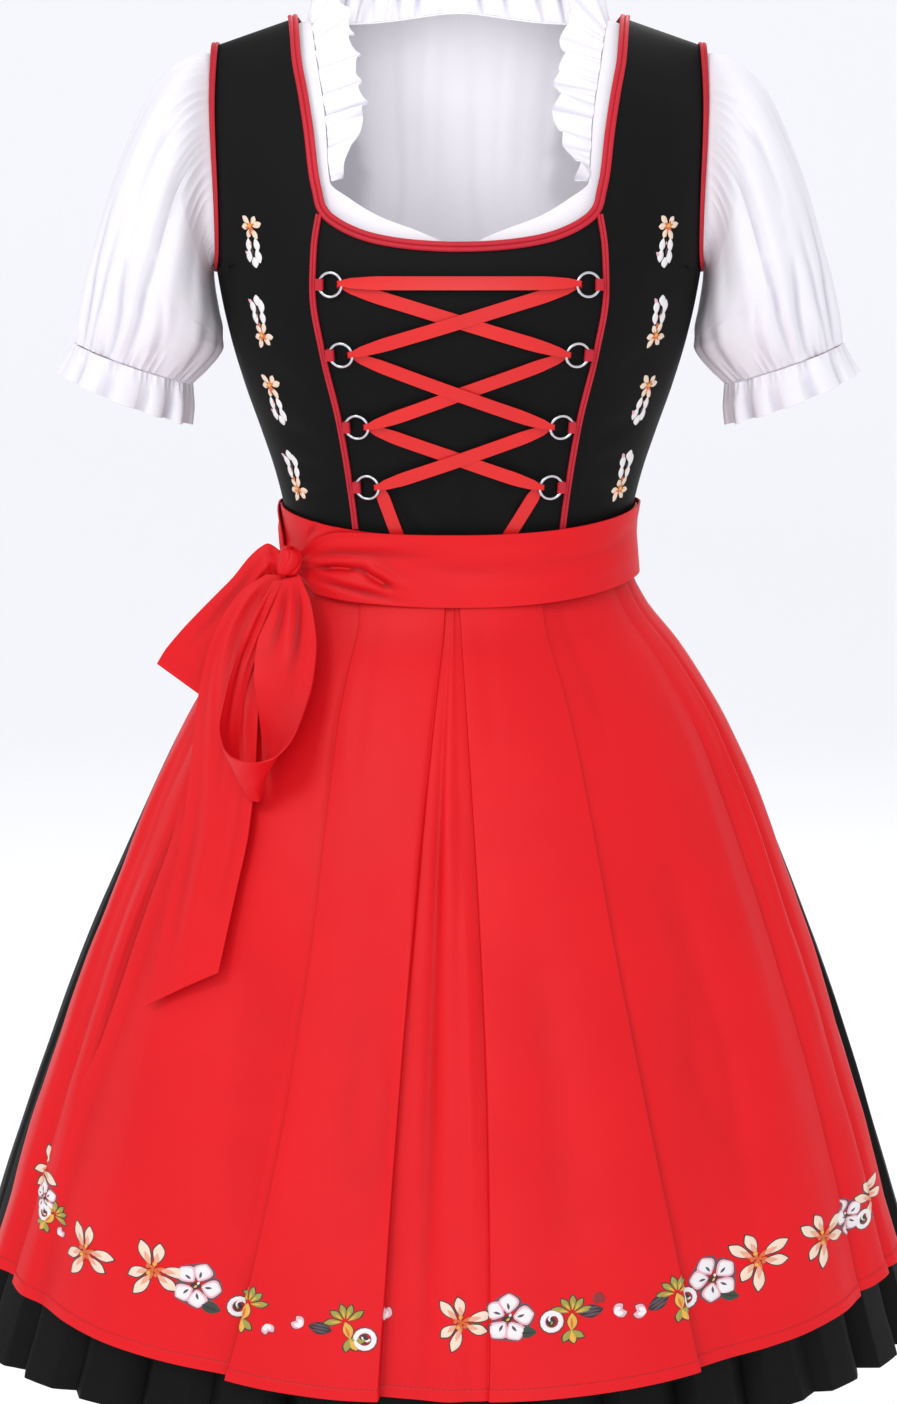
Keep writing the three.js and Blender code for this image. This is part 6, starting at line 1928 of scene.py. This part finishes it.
def neck_edge(share):
    """The blouse's neck edge, from the front on the wearer's right, round the back, to the front on the left."""
    side = np.where(share < 0.5, -1, 1)
    down = np.abs(share - 0.5) * 2
    part = np.sin(np.clip(down / RUFFLE["shoulder"], 0, 1) * np.pi / 2)
    high = np.maximum(0.2, root_depth(BLOUSE_BACK_NECK_Z * (1 - part**2.4)))
    fall = np.clip((down - RUFFLE["shoulder"]) / (1 - RUFFLE["shoulder"]), 0, 1)
    low = mix(0.2, root_depth(-122), fall**0.85)
    back = down < RUFFLE["shoulder"]
    root = np.where(back, high, low)
    ahead = torso_angle(blouse_x(-(low**2)), low)
    angle = np.where(back, 180 - torso_angle(BLOUSE_NECK_X * part, high), ahead)
    inset = -(BLOUSE_INSET + BLOUSE_THICK / 2)
    return rounded_neck(torso(side * angle, root) + torso_normal(side * angle, root) * inset)


def ruffle_grid(wide, tall):
    """The frill: gathers that lean over one another, with an edge that steps in and out with them."""
    u, v = shares(wide, tall)
    down, side = np.abs(u - 0.5) * 2, np.where(u < 0.5, -1, 1)
    drawn = u + 0.004 * np.sin(u * np.pi * 22 + 1) + 0.002 * np.sin(u * np.pi * 58)
    phase = drawn * np.pi * 2 * RUFFLE["waves"] + v * 0.9 * side
    lying = np.sin(phase) + 0.35 * np.sin(2 * phase + 0.8) + 0.12 * np.sin(3 * phase + 2)
    height = size_of("frill") * (1 - ease(0.88, 1, down) * 0.72)
    height = height * (1 + 0.05 * np.sin(phase + 1.2) * v + 0.04 * np.sin(u * np.pi * 34))
    front = ease(0.4, 0.75, down)
    sideways = -side * mix(0.12, 0.93, front) * ease(0, 0.3, down)
    lean = unit(np.stack([sideways, mix(0.28, -0.32, front), mix(0.94, 0.2, front)], axis=-1))
    wave = lying * RUFFLE["wave"] * 1.25 * (0.3 + 0.7 * v) * (0.75 + 0.3 * np.sin(u * np.pi * 26 + 2))
    fine = 0.35 * np.sin(phase * 4 + 1) * (1 - v) ** 1.5
    ahead = unit(neck_edge(np.minimum(1, u + 0.004)) - neck_edge(np.maximum(0, u - 0.004)))
    across = unit(np.cross(ahead, lean))
    slide = ahead * (lying * 1.4 * v)[..., None]
    at = neck_edge(u) + lean * (RUFFLE["foot"] + v * height)[..., None]
    return at + across * (wave + fine)[..., None] + slide


def make_ruffle():
    piece = cloth("neck_frill", ruffle_grid(RUFFLE["waves"] * 26, 20), BLOUSE_THICK, reach=4, deep=1.3)
    dress(piece, material_of("white_cotton"), "white_cotton", "neck_ruffle")


# ---- Stage ----
CAMERA = {"x": -8, "y": -2200, "z": -145, "pitch": 10, "lens": 71.7}
FLOOR_Z = -1390  # the ground under a wearer of this size


def hang(lamp, place, aim):
    """Hangs a lamp at a place in metres and points it at another."""
    light = bpy.data.objects.new(lamp.name, lamp)
    light.location = place
    light.rotation_euler = Vector(np.subtract(aim, place)).to_track_quat("-Z", "Y").to_euler()
    bpy.context.scene.collection.objects.link(light)


def make_stage():
    scene = bpy.context.scene
    camera = bpy.data.cameras.new("camera")
    camera.sensor_fit, camera.sensor_height, camera.lens = "VERTICAL", 36, CAMERA["lens"]
    camera.clip_start, camera.clip_end = 0.05, 60
    eye = bpy.data.objects.new("camera", camera)
    eye.location = [CAMERA[axis] * METRES for axis in "xyz"]
    eye.rotation_euler = (math.radians(90 - CAMERA["pitch"]), 0, 0)
    scene.collection.objects.link(eye)
    scene.camera = eye
    scene.view_settings.view_transform = "Standard"

    material, tree = new_material("studio_paper")
    shader = node(tree, "BsdfPrincipled", {"Base Color": linear("#fdfcfe"), "Roughness": 0.9})
    finish_material(material, tree, shader)
    # One sheet of paper: level under the garment, turned up in a wide curve behind it. Its sizes are in metres.
    level_end, curve = 4.4, 1.2
    depth = [(-6.0, 0.0), (level_end, 0.0)]
    for t in np.radians(np.arange(6, 91, 6)):
        depth.append((level_end + curve * math.sin(t), curve - curve * math.cos(t)))
    depth.append((level_end + curve, 5.0))
    floor = FLOOR_Z * METRES
    grid = np.array([[(x, y, floor + z) for x in (-7, 7)] for y, z in depth]) / METRES
    index = np.arange(len(depth) * 2).reshape(-1, 2)
    quads = np.stack([index[:-1, 0], index[:-1, 1], index[1:, 1], index[1:, 0]], axis=-1)
    paper = make_mesh("studio_paper", grid.reshape(-1, 3), [quads])
    paper.data.materials.append(material)

    world = bpy.data.worlds.new("studio")
    world.use_nodes = True
    scene.world = world
    back = world.node_tree.nodes["Background"]
    back.inputs["Color"].default_value = (0.95, 0.97, 1.0, 1)
    back.inputs["Strength"].default_value = 0.9
    # name, place in metres, size, watts and colour of each soft light
    for name, place, size, watts, colour in (
        ("key", (-1.5, -2.4, 1.6), 1.0, 28, (1.0, 0.98, 0.97)),
        ("fill", (0.1, -3.2, 0.5), 1.4, 20, (0.98, 0.98, 1.0)),
        ("rim", (0.6, 2.0, 1.8), 1.6, 30, (1.0, 1.0, 1.0)),
    ):
        lamp = bpy.data.lights.new(name, "AREA")
        lamp.energy, lamp.size, lamp.color = watts, size, colour
        hang(lamp, place, (0, 0, -0.5))
    # A narrow lamp beside the camera reaches the inside of the back through the neck.
    lamp = bpy.data.lights.new("neck", "SPOT")
    lamp.energy, lamp.shadow_soft_size = 115, 0.1
    lamp.spot_size, lamp.spot_blend = math.radians(7.6), 1.0
    hang(lamp, (0, -2.2, 0.55), (0, 0.09, -0.055))


# ---- The add-on ----
def length(name, description, millimetres):
    """A property for one length, kept in metres."""
    default = millimetres * METRES
    return FloatProperty(name=name, description=description, default=default, min=0, unit="LENGTH")


class DirndlSizes(bpy.types.PropertyGroup):
    """The sizes of trim and sewing that can be changed without a new cut."""

    neck_binding: length("Neckline binding", "Width of the tape round the neckline", 7.6)
    arm_binding: length("Armhole binding", "Width of the tape round the armholes", 6)
    piping: length("Seam piping", "Width of the piping in the seams of the bodice", 5)
    lace: length("Lace", "Width of the ribbon that laces the bodice", 10)
    frill: length("Neck frill", "Height of the frill round the neck", 31)
    stitch: length("Stitch", "Length of a sewing stitch", 2.8)


class DirndlLook(bpy.types.PropertyGroup):
    """The colours of the cloths, as sRGB hex values."""

    black: StringProperty(name="Black cotton", description="Colour of bodice and skirt", default="#0e0e0d")
    red: StringProperty(name="Red satin", description="Colour of the apron", default="#dc101a")
    trim: StringProperty(name="Red tape", description="Colour of bindings and piping", default="#c41e30")
    lace: StringProperty(name="Red ribbon", description="Colour of the lace", default="#dd1a16")
    white: StringProperty(name="White cotton", description="Colour of the blouse", default="#e9e6eb")


class DIRNDL_OT_stage(bpy.types.Operator):
    """Adds the camera, the paper floor and the lights"""

    bl_idname = "dirndl.stage"
    bl_label = "Stage"

    def execute(self, context):
        make_stage()
        return {"FINISHED"}


class DIRNDL_OT_bodice(bpy.types.Operator):
    """Makes the five bodice panels"""

    bl_idname = "dirndl.bodice"
    bl_label = "Bodice"

    def execute(self, context):
        make_bodice()
        return {"FINISHED"}


class DIRNDL_OT_bodice_embroidery(bpy.types.Operator):
    """Embroiders the bodice"""

    bl_idname = "dirndl.bodice_embroidery"
    bl_label = "Bodice embroidery"

    def execute(self, context):
        make_bodice_embroidery()
        return {"FINISHED"}


class DIRNDL_OT_bindings(bpy.types.Operator):
    """Makes the bindings and the seam piping"""

    bl_idname = "dirndl.bindings"
    bl_label = "Bindings"

    def execute(self, context):
        make_bindings()
        return {"FINISHED"}


class DIRNDL_OT_rings(bpy.types.Operator):
    """Makes the lacing rings and their tabs"""

    bl_idname = "dirndl.rings"
    bl_label = "Rings"

    def execute(self, context):
        make_rings()
        return {"FINISHED"}


class DIRNDL_OT_lace(bpy.types.Operator):
    """Makes the lace through the rings"""

    bl_idname = "dirndl.lace"
    bl_label = "Lace"

    def execute(self, context):
        make_lace()
        return {"FINISHED"}


class DIRNDL_OT_skirt(bpy.types.Operator):
    """Makes the pleated skirt"""

    bl_idname = "dirndl.skirt"
    bl_label = "Skirt"

    def execute(self, context):
        make_skirt()
        return {"FINISHED"}


class DIRNDL_OT_apron(bpy.types.Operator):
    """Makes the apron"""

    bl_idname = "dirndl.apron"
    bl_label = "Apron"

    def execute(self, context):
        make_apron()
        return {"FINISHED"}


class DIRNDL_OT_apron_embroidery(bpy.types.Operator):
    """Embroiders and hems the apron"""

    bl_idname = "dirndl.apron_embroidery"
    bl_label = "Apron embroidery"

    def execute(self, context):
        make_apron_embroidery()
        return {"FINISHED"}


class DIRNDL_OT_waistband(bpy.types.Operator):
    """Makes the apron's waistband and tie"""

    bl_idname = "dirndl.waistband"
    bl_label = "Waistband"

    def execute(self, context):
        make_waistband()
        return {"FINISHED"}


class DIRNDL_OT_bow(bpy.types.Operator):
    """Makes the bow"""

    bl_idname = "dirndl.bow"
    bl_label = "Bow"

    def execute(self, context):
        make_bow()
        return {"FINISHED"}


class DIRNDL_OT_blouse(bpy.types.Operator):
    """Makes the blouse's front and back"""

    bl_idname = "dirndl.blouse"
    bl_label = "Blouse"

    def execute(self, context):
        make_blouse()
        return {"FINISHED"}


class DIRNDL_OT_sleeves(bpy.types.Operator):
    """Makes the sleeves and cuffs"""

    bl_idname = "dirndl.sleeves"
    bl_label = "Sleeves"

    def execute(self, context):
        make_sleeves()
        return {"FINISHED"}


class DIRNDL_OT_ruffle(bpy.types.Operator):
    """Makes the frill round the neck"""

    bl_idname = "dirndl.ruffle"
    bl_label = "Ruffle"

    def execute(self, context):
        make_ruffle()
        return {"FINISHED"}


STEPS = [
    DIRNDL_OT_stage,
    DIRNDL_OT_bodice,
    DIRNDL_OT_bodice_embroidery,
    DIRNDL_OT_bindings,
    DIRNDL_OT_rings,
    DIRNDL_OT_lace,
    DIRNDL_OT_skirt,
    DIRNDL_OT_apron,
    DIRNDL_OT_apron_embroidery,
    DIRNDL_OT_waistband,
    DIRNDL_OT_bow,
    DIRNDL_OT_blouse,
    DIRNDL_OT_sleeves,
    DIRNDL_OT_ruffle,
]


class DIRNDL_PT_panel(bpy.types.Panel):
    """Lists the dirndl's sizes, colours and pieces"""

    bl_label = "Dirndl"
    bl_space_type = "VIEW_3D"
    bl_region_type = "UI"
    bl_category = "Dirndl"

    def draw(self, context):
        for group in (context.scene.dirndl_sizes, context.scene.dirndl_look):
            for name in type(group).__annotations__:
                self.layout.prop(group, name)
        for step in STEPS:
            self.layout.operator(step.bl_idname)


CLASSES = [DirndlSizes, DirndlLook, *STEPS, DIRNDL_PT_panel]


def register():
    for made in CLASSES:
        bpy.utils.register_class(made)
    bpy.types.Scene.dirndl_sizes = PointerProperty(type=DirndlSizes)
    bpy.types.Scene.dirndl_look = PointerProperty(type=DirndlLook)


def unregister():
    del bpy.types.Scene.dirndl_look
    del bpy.types.Scene.dirndl_sizes
    for made in reversed(CLASSES):
        bpy.utils.unregister_class(made)


def main():
    register()
    for step in STEPS:
        done = getattr(bpy.ops.dirndl, step.bl_idname.split(".")[1])()
        if "FINISHED" not in done:
            raise RuntimeError(f"{step.bl_label} was not finished")


if __name__ == "__main__":
    main()
